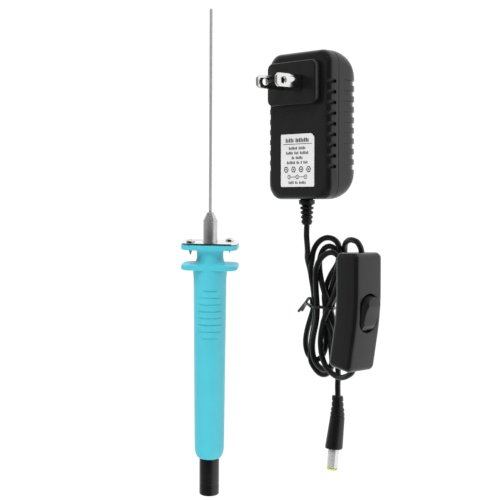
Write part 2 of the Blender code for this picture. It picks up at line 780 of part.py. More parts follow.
def switch_housing(switch):
    base_end, cover_end = -SWITCH_HALF_THICK, SWITCH_HALF_THICK
    base = make("switch_base", [housing_half(SWITCH_SEAM - GAP / 2, base_end, BASE_EDGE)], black_plastic(), switch)
    cover = make("switch_cover", [housing_half(SWITCH_SEAM + GAP / 2, cover_end, COVER_EDGE)], black_plastic(), switch)
    post_steps = [
        (base, "base_posts", 2.3, base_end + 0.8, SWITCH_SEAM - GAP, "UNION"),
        (cover, "cover_posts", 2.3, SWITCH_SEAM + GAP, cover_end - 0.8, "UNION"),
        (base, "screw_ways", 1.2, base_end - 1, SWITCH_SEAM + 1, "DIFFERENCE"),
        (base, "screw_sinks", 2.0, base_end - 1, base_end + 1.5, "DIFFERENCE"),
        (cover, "screw_pilots", 1.1, SWITCH_SEAM - 1, cover_end - 1.4, "DIFFERENCE"),
    ]
    for half, name, radius, low, high, operation in post_steps:
        posts = [screw_post(radius, low, high, spot) for spot in SCREW_SPOTS]
        cut(half, cutter(name, posts, switch), operation)
    for item, name in ((base, "base_cord_holes"), (cover, "cover_cord_holes")):
        cut(item, switch_cord_holes(name, switch))
    neutral = frame_at("rocker_neutral", (0.0, 0.0, MIDDLE_Z), (0.0, 0.0, SWITCH_BEND / 2), parent=switch)
    ears = [box((2.7, -2.0, side * 7.4 - 0.9), (6.2, 2.0, side * 7.4 + 0.9)) for side in (-1, 1)]
    cut(cover, cutter("axle_ears", ears, neutral), "UNION")
    cut(cover, cutter("axle_bores", [prism(circle(1.15, 12, (ROCKER_AXIS_X, 0.0)), -8.0, 8.0, "z")], neutral))
    cut(cover, cutter("rocker_window", [prism(stadium(9.4, 6.2, 8), 4.9, 10.0, "x")], neutral))


def switch_screws(switch):
    for name, spot in zip(("switch_screw_top", "switch_screw_bottom"), SCREW_SPOTS):
        turn = 0.0 if spot[0] > 0 else SWITCH_BEND
        holder = frame_at(f"{name}_axis", (0.0, 0.0, 0.0), (0.0, 0.0, turn), parent=switch)
        profile = [(-6.7, 0.0), (-6.7, 1.7), (-6.3, 1.7), (-5.8, 0.85), (5.0, 0.85), (5.0, 0.0)]
        make(name, [shift(along_x(turned(profile, 10)), (0.0, *spot))], steel(), holder)


def rocker_parts(switch):
    """The rocker with its axle and spring plunger. They turn together about the axle."""
    place, turn = on_middle(ROCKER_AXIS_X), SWITCH_BEND / 2
    neutral = frame_at("axle_place", place, (0.0, 0.0, turn), parent=switch)
    tilt = frame_at("rocker_axis", place, (0.0, 0.0, turn + ROCKER_TILT), parent=switch)
    side_view = [
        (-1.2, -8.7), (2.9, -8.7), (3.75, -7.2), (4.3, -5.0), (3.95, 0.0),
        (4.3, 5.0), (3.75, 7.2), (2.9, 8.7), (-1.2, 8.7),
    ]
    rocker = make("rocker", [prism(side_view, -6.6, 6.6, "z")], black_plastic(), tilt)
    plan = [(-2.0, 8.7, 5.7), (2.2, 8.7, 5.7), (3.4, 8.6, 5.2), (4.6, 8.2, 3.6)]
    rings = [[(x, a, b) for a, b in stadium(long, wide, 8)] for x, long, wide in plan]
    cut(rocker, cutter("rocker_plan", [stack(rings)], tilt), "INTERSECT")
    cut(rocker, cutter("rocker_bore", [prism(circle(1.15, 12), -7.0, 7.0, "z")], tilt))
    cut(rocker, cutter("plunger_bore", [prism(circle(1.4, 12), -2.5, -0.9, "x")], tilt))
    make("rocker_axle", [prism(circle(0.95, 12), -7.6, 7.6, "z")], steel(), neutral)
    plunger = [(-7.3, 0.0), (-7.1, 0.5), (-6.6, 0.85), (-3.6, 0.85), (-3.6, 1.25), (-3.1, 1.25), (-3.1, 0.0)]
    make("detent_plunger", [along_x(turned(plunger, 10))], plain("acetal", (0.8, 0.8, 0.76)), tilt)
    spring = [(-2.7, 0.75), (-2.7, 1.15), (-1.3, 1.15), (-1.3, 0.75)]
    make("detent_spring", [along_x(turned(spring, 10, ring=True))], steel(), tilt)


def on_middle(x):
    """A place on the line that halves the switch's bend, as far along it as x."""
    turn = SWITCH_BEND / 2
    return x * math.cos(turn), x * math.sin(turn), MIDDLE_Z


def switch_contacts(switch):
    place, turn = on_middle(LEVER_AXIS_X), SWITCH_BEND / 2
    neutral = frame_at("contact_place", place, (0.0, 0.0, turn), parent=switch)
    lever = frame_at("lever_axis", place, (0.0, 0.0, turn + LEVER_TILT), parent=switch)
    side_view = [
        (0.0, -6.4), (0.6, -6.4), (0.45, 0.0), (0.6, 6.4),
        (0.0, 6.4), (-0.15, 0.9), (0.05, 0.0), (-0.15, -0.9),
    ]
    make("contact_lever", [prism(side_view, -2.0, 2.0, "z")], copper(), lever)
    pivot = [(-0.3, 0.0), (-1.1, 0.7), (-2.0, 0.7), (-2.0, 0.1), (-2.0, -0.7), (-1.1, -0.7)]
    make("pivot_terminal", [prism(pivot, -2.0, 2.0, "z")], copper(), neutral)
    fixed = [(-1.9, 4.4), (-1.3, 4.4), (-1.3, 8.6), (-1.9, 8.6)]
    make("fixed_terminal", [prism(fixed, -2.0, 2.0, "z")], copper(), neutral)


def switch_wires(switch):
    insulation = black_rubber()
    through = [
        (0.5, 25.6, 11.1), (-1.5, 22.0, 13.1), (-3.0, 12.0, 14.7), (-3.0, 0.0, 14.9),
        (-3.5, -8.0, 13.7), (-3.4, -20.0, 6.7), (-2.6, -25.6, 9.7),
    ]
    feed = [(1.0, 25.4, 8.7), (-1.2, 22.0, 10.7), (-3.6, 15.0, 10.5), (-4.6, 9.3, MIDDLE_Z)]
    output = [
        (-5.2, -2.6, MIDDLE_Z), (-5.9, -8.0, 9.0), (-6.4, -14.0, 6.1), (-6.4, -21.0, 5.5), (-4.2, -25.6, 7.3),
    ]
    tube("through_wire", through, 0.6, insulation, switch, 3.0)
    tube("feed_wire", feed, 0.6, insulation, switch, 3.0)
    tube("output_wire", output, 0.6, insulation, switch, 3.0)


def inline_switch():
    switch = frame_at("switch_frame", SWITCH_AT)
    switch_housing(switch)
    switch_screws(switch)
    rocker_parts(switch)
    switch_contacts(switch)
    switch_wires(switch)


# Cord and barrel plug


def barrel_plug():
    """The moulded boot, and a barrel of two metal sleeves with an insulator between them."""
    way = (Vector(PLUG_END) - Vector(PLUG_AT)).normalized()
    yaw = math.atan2(-way.x, way.y)
    plug = frame_at("plug_frame", PLUG_AT, (math.asin(way.z), 0.0, yaw))
    end = PLUG_BOOT_LONG
    boot = [(0.0, 0.0), (0.0, 2.5), (0.3, 2.75)]
    for low, high, radius in BOOT_GROOVES:
        boot += [(low, radius), (low + 0.15, radius - 0.25), (high - 0.15, radius - 0.25), (high, radius)]
    boot += [(10.6, 3.6), (end - 0.5, 4.35), (end, 4.05)]
    boot += [(end, 2.95), (end - 6.0, 2.95), (end - 6.0, 0.0)]
    make("plug_boot", [turned(boot, 20)], black_rubber(), plug)
    barrel = [(end - 5.6, 2.75), (end + 9.4, 2.75), (end + 9.4, 2.35), (end - 5.6, 2.35)]
    make("plug_barrel", [turned(barrel, 20, ring=True)], nickel(), plug)
    insulator = [
        (end - 5.4, 2.15), (end + 9.6, 2.15), (end + 9.6, 2.6),
        (end + 10.5, 2.5), (end + 10.5, 1.5), (end - 5.4, 1.5),
    ]
    yellow = plain("yellow_insulator", (0.75, 0.78, 0.12))
    make("plug_insulator", [turned(insulator, 16, ring=True)], yellow, plug)
    inner = [(end - 5.2, 1.35), (end + 10.0, 1.35), (end + 10.0, 1.05), (end - 5.2, 1.05)]
    make("plug_inner_contact", [turned(inner, 12, ring=True)], nickel(), plug)


def cord_and_tie():
    finish = black_rubber()
    tube("cord_from_supply", LEAD_ROUTE, CORD_RADIUS, finish)
    tube("cord_to_switch", LOOP_ROUTE, CORD_RADIUS, finish)
    tube("cord_from_switch", TAIL_ROUTE, CORD_RADIUS, finish)
    tube("cord_to_plug", PLUG_ROUTE, CORD_RADIUS, finish, spacing=3.0)
    make("cord_hank", [prism(HANK_OUTLINE, HANK_LOW, HANK_HIGH, "z")], finish)
    ring = make("hank_tie", [prism(tie_outline(0.9), *TIE_Y, "y")], black_plastic())
    cut(ring, cutter("tie_inside", [prism(tie_outline(0.0), TIE_Y[0] - 1, TIE_Y[1] + 1, "y")]))


def tie_outline(thick):
    """The tie's section across the hank's waist, as far out from its hole as thick."""
    low_x, high_x = 24.1, 41.2
    low_z, high_z = HANK_LOW - GAP, HANK_HIGH + GAP
    middle = ((low_x + high_x) / 2, (low_z + high_z) / 2)
    half_x, half_z = (high_x - low_x) / 2 + thick, (high_z - low_z) / 2 + thick
    outline = rounded_rectangle(half_x, half_z, 0.6 + thick, 3)
    return [(middle[0] + a, middle[1] + b) for a, b in outline]


def main():
    clear_scene()
    cutter_pen()
    power_supply()
    inline_switch()
    barrel_plug()
    cord_and_tie()


main()
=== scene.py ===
"""The looks of the hot wire cutter: fine surfaces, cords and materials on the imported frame.

Everything is in metres in the frame's own axes. Local outlines and profiles are in millimetres and are
scaled by MM where they become meshes. The pen, switch and plug each get their place from their CAD nodes.
"""

import json
import math

import bmesh
import bpy
import numpy as np
from mathutils import Matrix, Vector


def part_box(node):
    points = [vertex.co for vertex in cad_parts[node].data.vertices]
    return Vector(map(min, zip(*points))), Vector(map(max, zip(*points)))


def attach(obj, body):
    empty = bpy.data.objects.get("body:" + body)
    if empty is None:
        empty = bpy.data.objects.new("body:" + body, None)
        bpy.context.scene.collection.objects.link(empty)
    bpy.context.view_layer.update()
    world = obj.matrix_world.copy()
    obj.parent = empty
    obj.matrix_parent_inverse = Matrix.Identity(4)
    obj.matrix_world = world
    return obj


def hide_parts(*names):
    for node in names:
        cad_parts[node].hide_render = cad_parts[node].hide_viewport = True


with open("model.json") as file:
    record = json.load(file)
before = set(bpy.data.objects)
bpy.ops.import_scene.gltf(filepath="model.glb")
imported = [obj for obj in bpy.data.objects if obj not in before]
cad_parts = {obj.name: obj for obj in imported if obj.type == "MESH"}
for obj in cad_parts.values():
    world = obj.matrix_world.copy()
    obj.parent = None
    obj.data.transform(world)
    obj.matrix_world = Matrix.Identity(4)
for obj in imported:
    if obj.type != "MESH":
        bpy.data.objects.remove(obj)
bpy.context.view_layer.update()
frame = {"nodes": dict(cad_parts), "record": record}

MM = 0.001

# Camera: it looks down on the pen and the supply from their right.
CAMERA_AT = (0.4194, 0.0292, 0.4273)
CAMERA_LOOK = (-0.71875, -0.04048, -0.69409)
CAMERA_UP = (-0.02912, 0.99918, -0.02812)
CAMERA_LENS = 83.52

# Light: the sky's strength overhead and halfway down, the way it is dark, two lamps and a glowing floor.
SKY_TOP = 0.2
SKY_MIDDLE = 0.28
DARK_SIDE = (0.72, 0.04, 0.69)
LAMP_PLACE = (0.25, 0.95, 0.75)
LAMP_SIZE = (0.9, 0.5)
KEY_POWER = 14.0
FILL_POWER = 12.0
FLOOR_HALF = 12.0
FLOOR_GLOW = 1.02

# Driving sizes of the frame, millimetres, as its design states them. The pen's are measured from its tail.
FLANGE_WIDE = 30.0
FLANGE_DEEP = 18.8
FLANGE_CHAMFER = 3.2
FLANGES = ((124.5, 127.1), (135.2, 138.0))
PLATE = (138.2, 138.9)
SCREW_AT = (9.96, 4.83)
BODY_WIDE = 41.0
BODY_LONG = 70.6
BODY_THICK = 23.4
FRONT_ROUND = 3.2
BACK_ROUND = 9.0
END_ROUND = 16.0
PLAN_ROUND = 7.0
SEAM_Z = 16.6
SEAM_GAP = 0.15
WALL = 2.0
BOSS = (31.8, 20.6, 4.0)
BOSS_X = -0.7
BOSS_Y = 20.0
BLADE_Y = 20.1
BLADE_X = 6.35
BLADE_WIDE = 6.35
BLADE_THICK = 1.5
LABEL_LOW = (-11.0, -29.3)
LABEL_HIGH = (11.0, -4.0)
VENTS = 9
VENT_PITCH = 4.99
FINGER_DEEP = 0.7
VENT_MIDDLES = [(i - (VENTS - 1) / 2) * VENT_PITCH for i in range(VENTS)]
SWITCH_BEND = math.radians(-10.0)
SWITCH_HALF = (28.0, 7.1, 19.2)
SWITCH_WALL = 1.4
BEND_REACH = 10.0
BEND_STEPS = 10
BASE_EDGE = 3.0
COVER_EDGE = 2.6
SWITCH_SCREWS = ((19.0, 5.2), (-19.0, 14.0))
SWITCH_SEAM = 2.0
ROCKER_AXIS_X = 4.6
ROCKER_REST = math.radians(-13.0)
CORD = 2.8
PLUG_END = 26.2
BOOT_BOW = 0.9
BOOT_GROOVES = ((2.3, 3.2, 2.85), (4.9, 5.7, 3.0), (7.1, 8.0, 3.4), (9.5, 10.0, 3.55))

# The cord's way out of the supply, millimetres, in the frame's axes.
LEAD_ROUTE = [(33.8, 18, 16.6), (33.5, 16.8, 16.4), (32.3, 13, 15.2), (31.2, 9.5, 13.6), (29.5, 5.5, 11.3)]


# Places of the assemblies


def corners_of(node):
    """A CAD node's points, in millimetres."""
    return [vertex.co / MM for vertex in frame["nodes"][node].data.vertices]


def middle(node):
    points = corners_of(node)
    return sum(points, Vector()) / len(points)


def place_on(start, along, side):
    """A matrix with y along one direction and x nearest to another, in metres from millimetres."""
    y = along.normalized()
    x = (side - y * side.dot(y)).normalized()
    z = x.cross(y)
    turn = Matrix((x, y, z)).transposed().to_4x4()
    return Matrix.Translation(start * MM) @ turn


def start_of(node, along):
    """The point on a round node's axis where the node starts."""
    centre = middle(node)
    return centre + along * min((point - centre).dot(along) for point in corners_of(node))


def pen_place():
    """The pen's axis runs through the middles of its sleeve and needle; its screws give its roll."""
    along = (middle("needle") - middle("tail_sleeve")).normalized()
    across = middle("plate_screw_far") - middle("plate_screw_near")
    roll = math.atan2(SCREW_AT[1], SCREW_AT[0])
    side = Matrix.Rotation(-roll, 3, along) @ across
    return place_on(start_of("tail_sleeve", along), along, side)


def supply_place():
    low, high = (Vector(corner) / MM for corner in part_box("back_cover"))
    return Matrix.Translation(Vector(((low.x + high.x) / 2, (low.y + high.y) / 2, low.z)) * MM)


def switch_place():
    axle = middle("rocker_axle")
    turn = SWITCH_BEND / 2
    bend = Vector((ROCKER_AXIS_X * math.cos(turn), ROCKER_AXIS_X * math.sin(turn), 0))
    return Matrix.Translation(Vector((axle.x - bend.x, axle.y - bend.y, 0)) * MM)


def plug_place():
    along = (middle("plug_barrel") - middle("plug_boot")).normalized()
    return place_on(start_of("plug_boot", along), along, Vector((1, 0, 0)))


# Shapes: each returns (points, faces) of one closed surface, in millimetres


def stack(rings):
    """Rings of the same count joined one to the next, with the first and last filled."""
    count = len(rings[0])
    points = [point for ring in rings for point in ring]
    faces = [tuple(range(count)), tuple(range(len(points) - count, len(points)))]
    for base in range(0, len(points) - count, count):
        for i in range(count):
            j = (i + 1) % count
            faces.append((base + i, base + j, base + count + j, base + count + i))
    return points, faces


def prism(outline, low, high, axis):
    """An outline carried along an axis from low to high."""
    slot = "xyz".index(axis)
    return stack([[(*point[:slot], level, *point[slot:]) for point in outline] for level in (low, high)])


def box(low, high):
    outline = [(low[0], low[1]), (high[0], low[1]), (high[0], high[1]), (low[0], high[1])]
    return prism(outline, low[2], high[2], "z")


def circle(radius, steps, centre=(0, 0)):
    turns = [2 * math.pi * i / steps for i in range(steps)]
    return [(centre[0] + radius * math.cos(t), centre[1] + radius * math.sin(t)) for t in turns]


def turned(profile, steps=64, ring=False, swell=None):
    """A profile of (along, radius) spun round y. swell(along, turn) adds to the radius where it isn't 0."""
    points = []
    rows = []
    for along, radius in profile:
        if radius == 0:
            rows.append([len(points)])
            points.append((0, along, 0))
            continue
        rows.append(list(range(len(points), len(points) + steps)))
        for i in range(steps):
            turn = 2 * math.pi * i / steps
            reach = radius + (swell(along, turn) if swell else 0)
            points.append((reach * math.cos(turn), along, reach * math.sin(turn)))
    faces = []
    pairs = list(zip(rows, rows[1:]))
    if ring:
        pairs.append((rows[-1], rows[0]))
    for first, second in pairs:
        for i in range(steps):
            j = (i + 1) % steps
            near = [first[i % len(first)], first[j % len(first)]]
            far = [second[j % len(second)], second[i % len(second)]]
            faces.append(tuple(dict.fromkeys(near + far)))
    return points, faces


def eased(before, corner, after, radius, steps):
    """A short arc-like curve in place of a corner."""
    a, b, c = Vector(before), Vector(corner), Vector(after)
    reach = min(radius, (a - b).length / 2.2, (c - b).length / 2.2)
    start = b + (a - b).normalized() * reach
    end = b + (c - b).normalized() * reach
    shares = [i / steps for i in range(steps + 1)]
    return [start * (1 - t) ** 2 + b * 2 * t * (1 - t) + end * t**2 for t in shares]


def rounded(profile, radius, steps=4):
    """The same profile with its inner corners rounded."""
    out = [profile[0]]
    for corners in zip(profile, profile[1:], profile[2:]):
        out += [(point.x, max(point.y, 0)) for point in eased(*corners, radius, steps)]
    return out + [profile[-1]]


def curved(profile, spacing):
    """Points spaced evenly on a smooth curve through a profile's own points."""
    route = smooth_route([(a, b, 0) for a, b in profile], spacing)
    return [(point.x, point.y) for point in route]


def stadium(half_long, half_wide, steps, centre=(0, 0)):
    points = []
    for side in (1, -1):
        for i in range(steps + 1):
            turn = math.pi * (i / steps - 0.5)
            a = side * (half_long - half_wide + half_wide * math.cos(turn))
            b = side * half_wide * math.sin(turn)
            points.append((centre[0] + a, centre[1] + b))
    return points


def rounded_rectangle(half_a, half_b, radius, steps):
    points = []
    for quarter, (side_a, side_b) in enumerate(((1, 1), (-1, 1), (-1, -1), (1, -1))):
        for i in range(steps + 1):
            turn = math.pi / 2 * (quarter + i / steps)
            a = side_a * (half_a - radius) + radius * math.cos(turn)
            b = side_b * (half_b - radius) + radius * math.sin(turn)
            points.append((a, b))
    return points


def octagon(inset=0):
    half_wide, half_deep = FLANGE_WIDE / 2 - inset, FLANGE_DEEP / 2 - inset
    chamfer = FLANGE_CHAMFER - 0.6 * inset
    points = []
    for side_a, side_b in ((1, 1), (-1, 1), (-1, -1), (1, -1)):
        near = (side_a * half_wide, side_b * (half_deep - chamfer))
        far = (side_a * (half_wide - chamfer), side_b * half_deep)
        points += [near, far] if side_a * side_b > 0 else [far, near]
    return points


def blunted(outline, radius, steps=5):
    """A closed outline with its corners rounded."""
    closed = [outline[-1], *outline, outline[0]]
    out = []
    for corners in zip(closed, closed[1:], closed[2:]):
        out += [(point.x, point.y) for point in eased(*corners, radius, steps)]
    return out


# Pieces


SHARP = 35.0


def in_scene(name, data):
    item = bpy.data.objects.new(name, data)
    bpy.context.scene.collection.objects.link(item)
    return item


def make(name, shapes, finish, place, sharp=SHARP):
    """One object from closed shapes given in millimetres, at a place in metres."""
    surface = bmesh.new()
    for points, faces in shapes:
        corners = [surface.verts.new(Vector(point) * MM) for point in points]
        for face in faces:
            surface.faces.new([corners[i] for i in face])
    bmesh.ops.recalc_face_normals(surface, faces=surface.faces[:])
    mesh = bpy.data.meshes.new(name)
    surface.to_mesh(mesh)
    surface.free()
    if finish:
        mesh.materials.append(finish)
    mesh.shade_smooth()
    mesh.set_sharp_from_angle(angle=math.radians(sharp))
    item = in_scene(name, mesh)
    item.matrix_world = place
    return item


def settle(item):
    """Applies an object's modifiers to its mesh."""
    graph = bpy.context.evaluated_depsgraph_get()
    mesh = bpy.data.meshes.new_from_object(item.evaluated_get(graph))
    item.modifiers.clear()
    item.data = mesh
    mesh.shade_smooth()
    mesh.set_sharp_from_angle(angle=math.radians(SHARP))


def carve(item, groups, operation="DIFFERENCE", place=None):
    """Cuts groups of shapes away one after another, or joins them or keeps what they share."""
    tools = []
    for number, shapes in enumerate(groups):
        tool = make(f"{item.name}_tool{number}", shapes, None, place or item.matrix_world)
        change = item.modifiers.new(tool.name, "BOOLEAN")
        change.object = tool
        change.operation = operation
        tools.append(tool)
    settle(item)
    for tool in tools:
        bpy.data.objects.remove(tool)


def soften(item, width, segments, angle):
    """Rounds an object's sharp edges, as a mould or a die leaves them."""
    weld = item.modifiers.new("weld", "WELD")
    weld.merge_threshold = 0.01 * MM
    bevel = item.modifiers.new("bevel", "BEVEL")
    bevel.width = width * MM
    bevel.segments = segments
    bevel.limit_method = "ANGLE"
    bevel.angle_limit = math.radians(angle)
    settle(item)


def wear(item, body, nodes):
    """Puts a piece on its body, in place of the CAD nodes that it stands for."""
    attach(item, body)
    if nodes:
        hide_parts(*nodes)
    return item


# Curves


def smooth_route(route, spacing):
    """Evenly spaced points on a smooth curve through the route's own points."""
    ends = [2 * Vector(route[0]) - Vector(route[1]), 2 * Vector(route[-1]) - Vector(route[-2])]
    held = [ends[0]] + [Vector(point) for point in route] + [ends[1]]
    fine = []
    steps = 24
    for i in range(1, len(held) - 2):
        before, start, end, after = held[i - 1 : i + 3]
        for step in range(steps):
            t = step / steps
            bend = 2 * before - 5 * start + 4 * end - after
            swing = 3 * start - before - 3 * end + after
            fine.append(0.5 * (2 * start + (end - before) * t + bend * t**2 + swing * t**3))
    fine.append(held[-2])
    run = [0]
    for first, second in zip(fine, fine[1:]):
        run.append(run[-1] + (second - first).length)
    count = max(3, round(run[-1] / spacing) + 1)
    even = []
    place = 0
    for i in range(count):
        wanted = run[-1] * i / (count - 1)
        while place < len(run) - 2 and run[place + 1] < wanted:
            place += 1
        share = (wanted - run[place]) / (run[place + 1] - run[place])
        even.append(fine[place].lerp(fine[place + 1], min(1, share)))
    return even


def tube(name, points, radius, finish):
    """A round cord along points in millimetres, with filled ends."""
    curve = bpy.data.curves.new(name, "CURVE")
    curve.dimensions = "3D"
    curve.bevel_depth = radius * MM
    curve.bevel_resolution = 6
    curve.use_fill_caps = True
    spline = curve.splines.new("POLY")
    spline.points.add(len(points) - 1)
    for held, point in zip(spline.points, points):
        held.co = (*(Vector(point) * MM), 1)
    spline.use_smooth = True
    curve.materials.append(finish)
    return in_scene(name, curve)


# Materials

EVEN = (1.0, 1.0, 1.0)
MIDDLE_RANGE = (0.3, 0.7)


def link(tree, node, sockets):
    """Links other nodes' sockets to a node's inputs."""
    for name, socket in sockets.items():
        tree.links.new(socket, node.inputs[name])


def add_node(tree, kind, values=None, sockets=None, operation=None):
    """A new node, with values on some of its inputs and sockets linked to others."""
    node = tree.nodes.new(kind)
    if operation:
        node.operation = operation
    for name, value in (values or {}).items():
        node.inputs[name].default_value = value
    link(tree, node, sockets or {})
    return node


def colour_ramp(tree, source, stops):
    """A value turned into a colour. Each stop is (position, colour), from low to high."""
    node = add_node(tree, "ShaderNodeValToRGB", sockets={"Fac": source})
    held = node.color_ramp.elements
    for stop, (position, colour) in zip((held[0], held[1]), (stops[0], stops[-1])):
        stop.position = position
        stop.color = (*colour, 1)
    for position, colour in stops[1:-1]:
        held.new(position).color = (*colour, 1)
    return node.outputs["Color"]


def spread_between(tree, source, span, results, interpolation="LINEAR"):
    """A value's span spread between two results, and held level outside it."""
    values = {"From Min": span[0], "From Max": span[1], "To Min": results[0], "To Max": results[1]}
    node = add_node(tree, "ShaderNodeMapRange", values, {"Value": source})
    node.interpolation_type = interpolation
    return node.outputs["Result"]


def noise(tree, scale, detail=3, stretch=EVEN):
    """Noise in the piece's own coordinates. scale is in cells per metre."""
    where = add_node(tree, "ShaderNodeTexCoord").outputs["Object"]
    mapping = add_node(tree, "ShaderNodeMapping", {"Scale": stretch}, {"Vector": where})
    vector = {"Vector": mapping.outputs["Vector"]}
    return add_node(tree, "ShaderNodeTexNoise", {"Scale": scale, "Detail": detail}, vector).outputs["Fac"]


def principled(name, values):
    """A new material and its Principled shader, with values on some of the shader's inputs."""
    made = bpy.data.materials.new(name)
    made.use_nodes = True
    shader = made.node_tree.nodes["Principled BSDF"]
    for key, value in values.items():
        shader.inputs[key].default_value = value
    return made, shader


def moulded(
    name, colour, roughness, metallic=0, tint=0.08, cloud=90, grain=2600, depth=0.02, stretch=EVEN,
    **more,
):
    """A finish with a slow change of colour, an uneven gloss and a fine grain in relief.

    tint is the change of colour as a share, cloud and grain are cells per metre of the slow and the fine
    noise, depth is the grain's relief in millimetres and stretch draws the noise out along an axis.
    Returns the finish's name here and its material.
    """
    made, shader = principled(name, {"Metallic": metallic, **more})
    tree = made.node_tree
    darker = [c * (1 - tint) for c in colour]
    lighter = [min(1, c * (1 + tint)) for c in colour]
    low, high = MIDDLE_RANGE
    shade = colour_ramp(tree, noise(tree, cloud), [(low, darker), (high, lighter)])
    patches = noise(tree, cloud * 4, 4, stretch)
    gloss = spread_between(tree, patches, MIDDLE_RANGE, (roughness * 0.88, roughness * 1.12))
    height = {"Height": noise(tree, grain, 2, stretch)}
    bump = add_node(tree, "ShaderNodeBump", {"Strength": 0.5, "Distance": depth * MM}, height)
    link(tree, shader, {"Base Color": shade, "Roughness": gloss, "Normal": bump.outputs["Normal"]})
    return name, made


def all_finishes():
    """Every finish by its name. The dark ones differ a little in tone, gloss and grain."""
    brushed = (1, 0.06, 1)
    rolled = (1, 0.08, 1)
    under = {"Subsurface Weight": 0.12, "Subsurface Radius": (0.0006, 0.0012, 0.0014)}
    return dict([
        moulded("blue_plastic", (0.088, 0.56, 0.67), 0.4, tint=0.02, depth=0.006, **under),
        moulded("black_plastic", (0.008, 0.008, 0.0083), 0.26, tint=0.1, grain=3400, depth=0.006),
        moulded("switch_plastic", (0.008, 0.008, 0.0083), 0.24, tint=0.1, grain=3000, depth=0.002),
        moulded("rocker_plastic", (0.009, 0.009, 0.009), 0.3, tint=0.1, depth=0.003),
        moulded("sleeve_plastic", (0.0065, 0.0065, 0.0065), 0.34, tint=0.12, grain=2200, depth=0.012),
        moulded("cord_skin", (0.006, 0.006, 0.0062), 0.3, tint=0.12, grain=1800, depth=0.006),
        moulded("boot_rubber", (0.0065, 0.0065, 0.0068), 0.36, tint=0.12, grain=2400, depth=0.01),
        moulded("nickel", (0.78, 0.77, 0.76), 0.14, 1, 0.04, 200, 2800, 0.0003, rolled),
        moulded("turned_steel", (0.6, 0.6, 0.6), 0.22, 0.75, 0.05, 240, 3200, 0.0006, brushed),
        moulded("barrel_metal", (0.8, 0.8, 0.79), 0.2, 0.55, 0.04, 200, 2800, 0.0003),
        moulded("steel", (0.5, 0.5, 0.51), 0.4, 0.4, 0.05, 260, 3600, 0.0004, brushed),
        moulded("copper", (0.78, 0.4, 0.24), 0.32, 1, 0.12, 160, 2000, 0.005),
        moulded("label_film", (0.74, 0.745, 0.74), 0.38, tint=0.02, cloud=120, depth=0.004),
        moulded("label_ink", (0.03, 0.03, 0.032), 0.5, tint=0.35, cloud=900, depth=0.001),
        moulded("yellow_insulator", (0.62, 0.72, 0.06), 0.35, tint=0.05),
        moulded("ceramic", (0.8, 0.78, 0.72), 0.7, tint=0.06, depth=0.03),
        moulded("red_insulation", (0.55, 0.02, 0.015), 0.4, tint=0.1),
        moulded("circuit_board", (0.02, 0.17, 0.07), 0.35, tint=0.3, cloud=500),
        moulded("transformer_tape", (0.7, 0.5, 0.06), 0.45, tint=0.1),
        moulded("component_body", (0.03, 0.03, 0.035), 0.45, tint=0.3, cloud=300),
        moulded("acetal", (0.78, 0.77, 0.72), 0.45, tint=0.04),
    ])


def finish_hidden_pieces(finishes):
    """The CAD pieces that still show themselves take the finish of their material slot."""
    by_slot = {**finishes, "black_rubber": finishes["cord_skin"]}
    for entry in frame["record"]["subparts"]:
        node = frame["nodes"][entry["node"]]
        if not node.hide_render:
            node.data.materials.clear()
            node.data.materials.append(by_slot[entry["material_slot"]])


# Cutter pen

GROOVE_PITCH = 3.65
GROOVE_FIRST = 87.9
GROOVE_DEEP = 0.42
GROOVE_HALF = 0.36
GROOVE_REACH = (0.58, 0.84, 0.84, 0.84, 0.84, 0.84, 0.72, 0.48)
GROOVE_MIDDLE = math.pi / 2 - 0.09
PARTING_LINES = (math.pi / 2 + 0.07, 1.5 * math.pi)
PARTING_HALF = 0.03
PARTING_HIGH = 0.06
FLANGE_EDGE = ((0.0, 0.55), (0.18, 0.18), (0.55, 0.0))
NEEDLE_RADIUS = 0.8
NEEDLE_END = 1.1


def grip_swell(along, turn):
    """Fine grip grooves across the front of the handle and the parting lines down its front and back."""
    front = turn - GROOVE_MIDDLE
    swell = 0
    for side in PARTING_LINES:
        away = abs(math.atan2(math.sin(turn - side), math.cos(turn - side)))
        if away < PARTING_HALF:
            swell += PARTING_HIGH
    nearest = round((along - GROOVE_FIRST) / GROOVE_PITCH)
    if not 0 <= nearest < len(GROOVE_REACH):
        return swell
    off = (along - GROOVE_FIRST - nearest * GROOVE_PITCH) / GROOVE_HALF
    ends = max(0, min(1, (GROOVE_REACH[nearest] - abs(front)) / 0.1))
    return swell - GROOVE_DEEP * ends * math.exp(-(off**4))


def grip_profile():
    """The handle's outside from its tail end to its top face, close together where the grooves are."""
    tail = rounded([(20.9, 6.2), (21.6, 6.9), (23.4, 7.6), (26, 8), (40, 8.13)], 1.6, 5)
    grooved = [(84 + 0.14 * i, 8.3 + 0.3 * (20 + 0.14 * i) / 36) for i in range(244)]
    flare = curved([(119, 8.76), (120.6, 8.9), (123, 9.15), (125.3, 9.25)], 0.35)
    waist = [(127, 8.7), (128.2, 7.75), (130.4, 7.1), (133, 7.1), (134.6, 7.4), (135.6, 7.9)]
    top = curved(waist, 0.35) + [(137.5, 7.7), (137.5, 4.2)]
    return [(20.9, 5.3)] + tail + [(64, 8.3)] + grooved + flare + top


def build_handle(pen, finish):
    bore = [(132.8, 4.2), (126.8, 4.2), (122.8, 6), (31.4, 6), (30.6, 5.3)]
    grip = make("handle_grip", [turned(grip_profile() + bore, 192, True, grip_swell)], finish, pen, 40)
    wear(grip, "pen", ["handle"])
    screw_holes = {"handle_flange_low": [], "handle_flange_top": screw_spots()}
    for (name, spots), (low, high) in zip(screw_holes.items(), FLANGES):
        levels = [(low + rise, inset) for rise, inset in FLANGE_EDGE]
        levels += [(high - rise, inset) for rise, inset in reversed(FLANGE_EDGE)]
        flange = make(name, [eight_sided(levels, 2.2)], finish, pen)
        drill(flange, low, high, 6.3, 40, 1.3, spots)
        wear(flange, "pen", ["handle"])


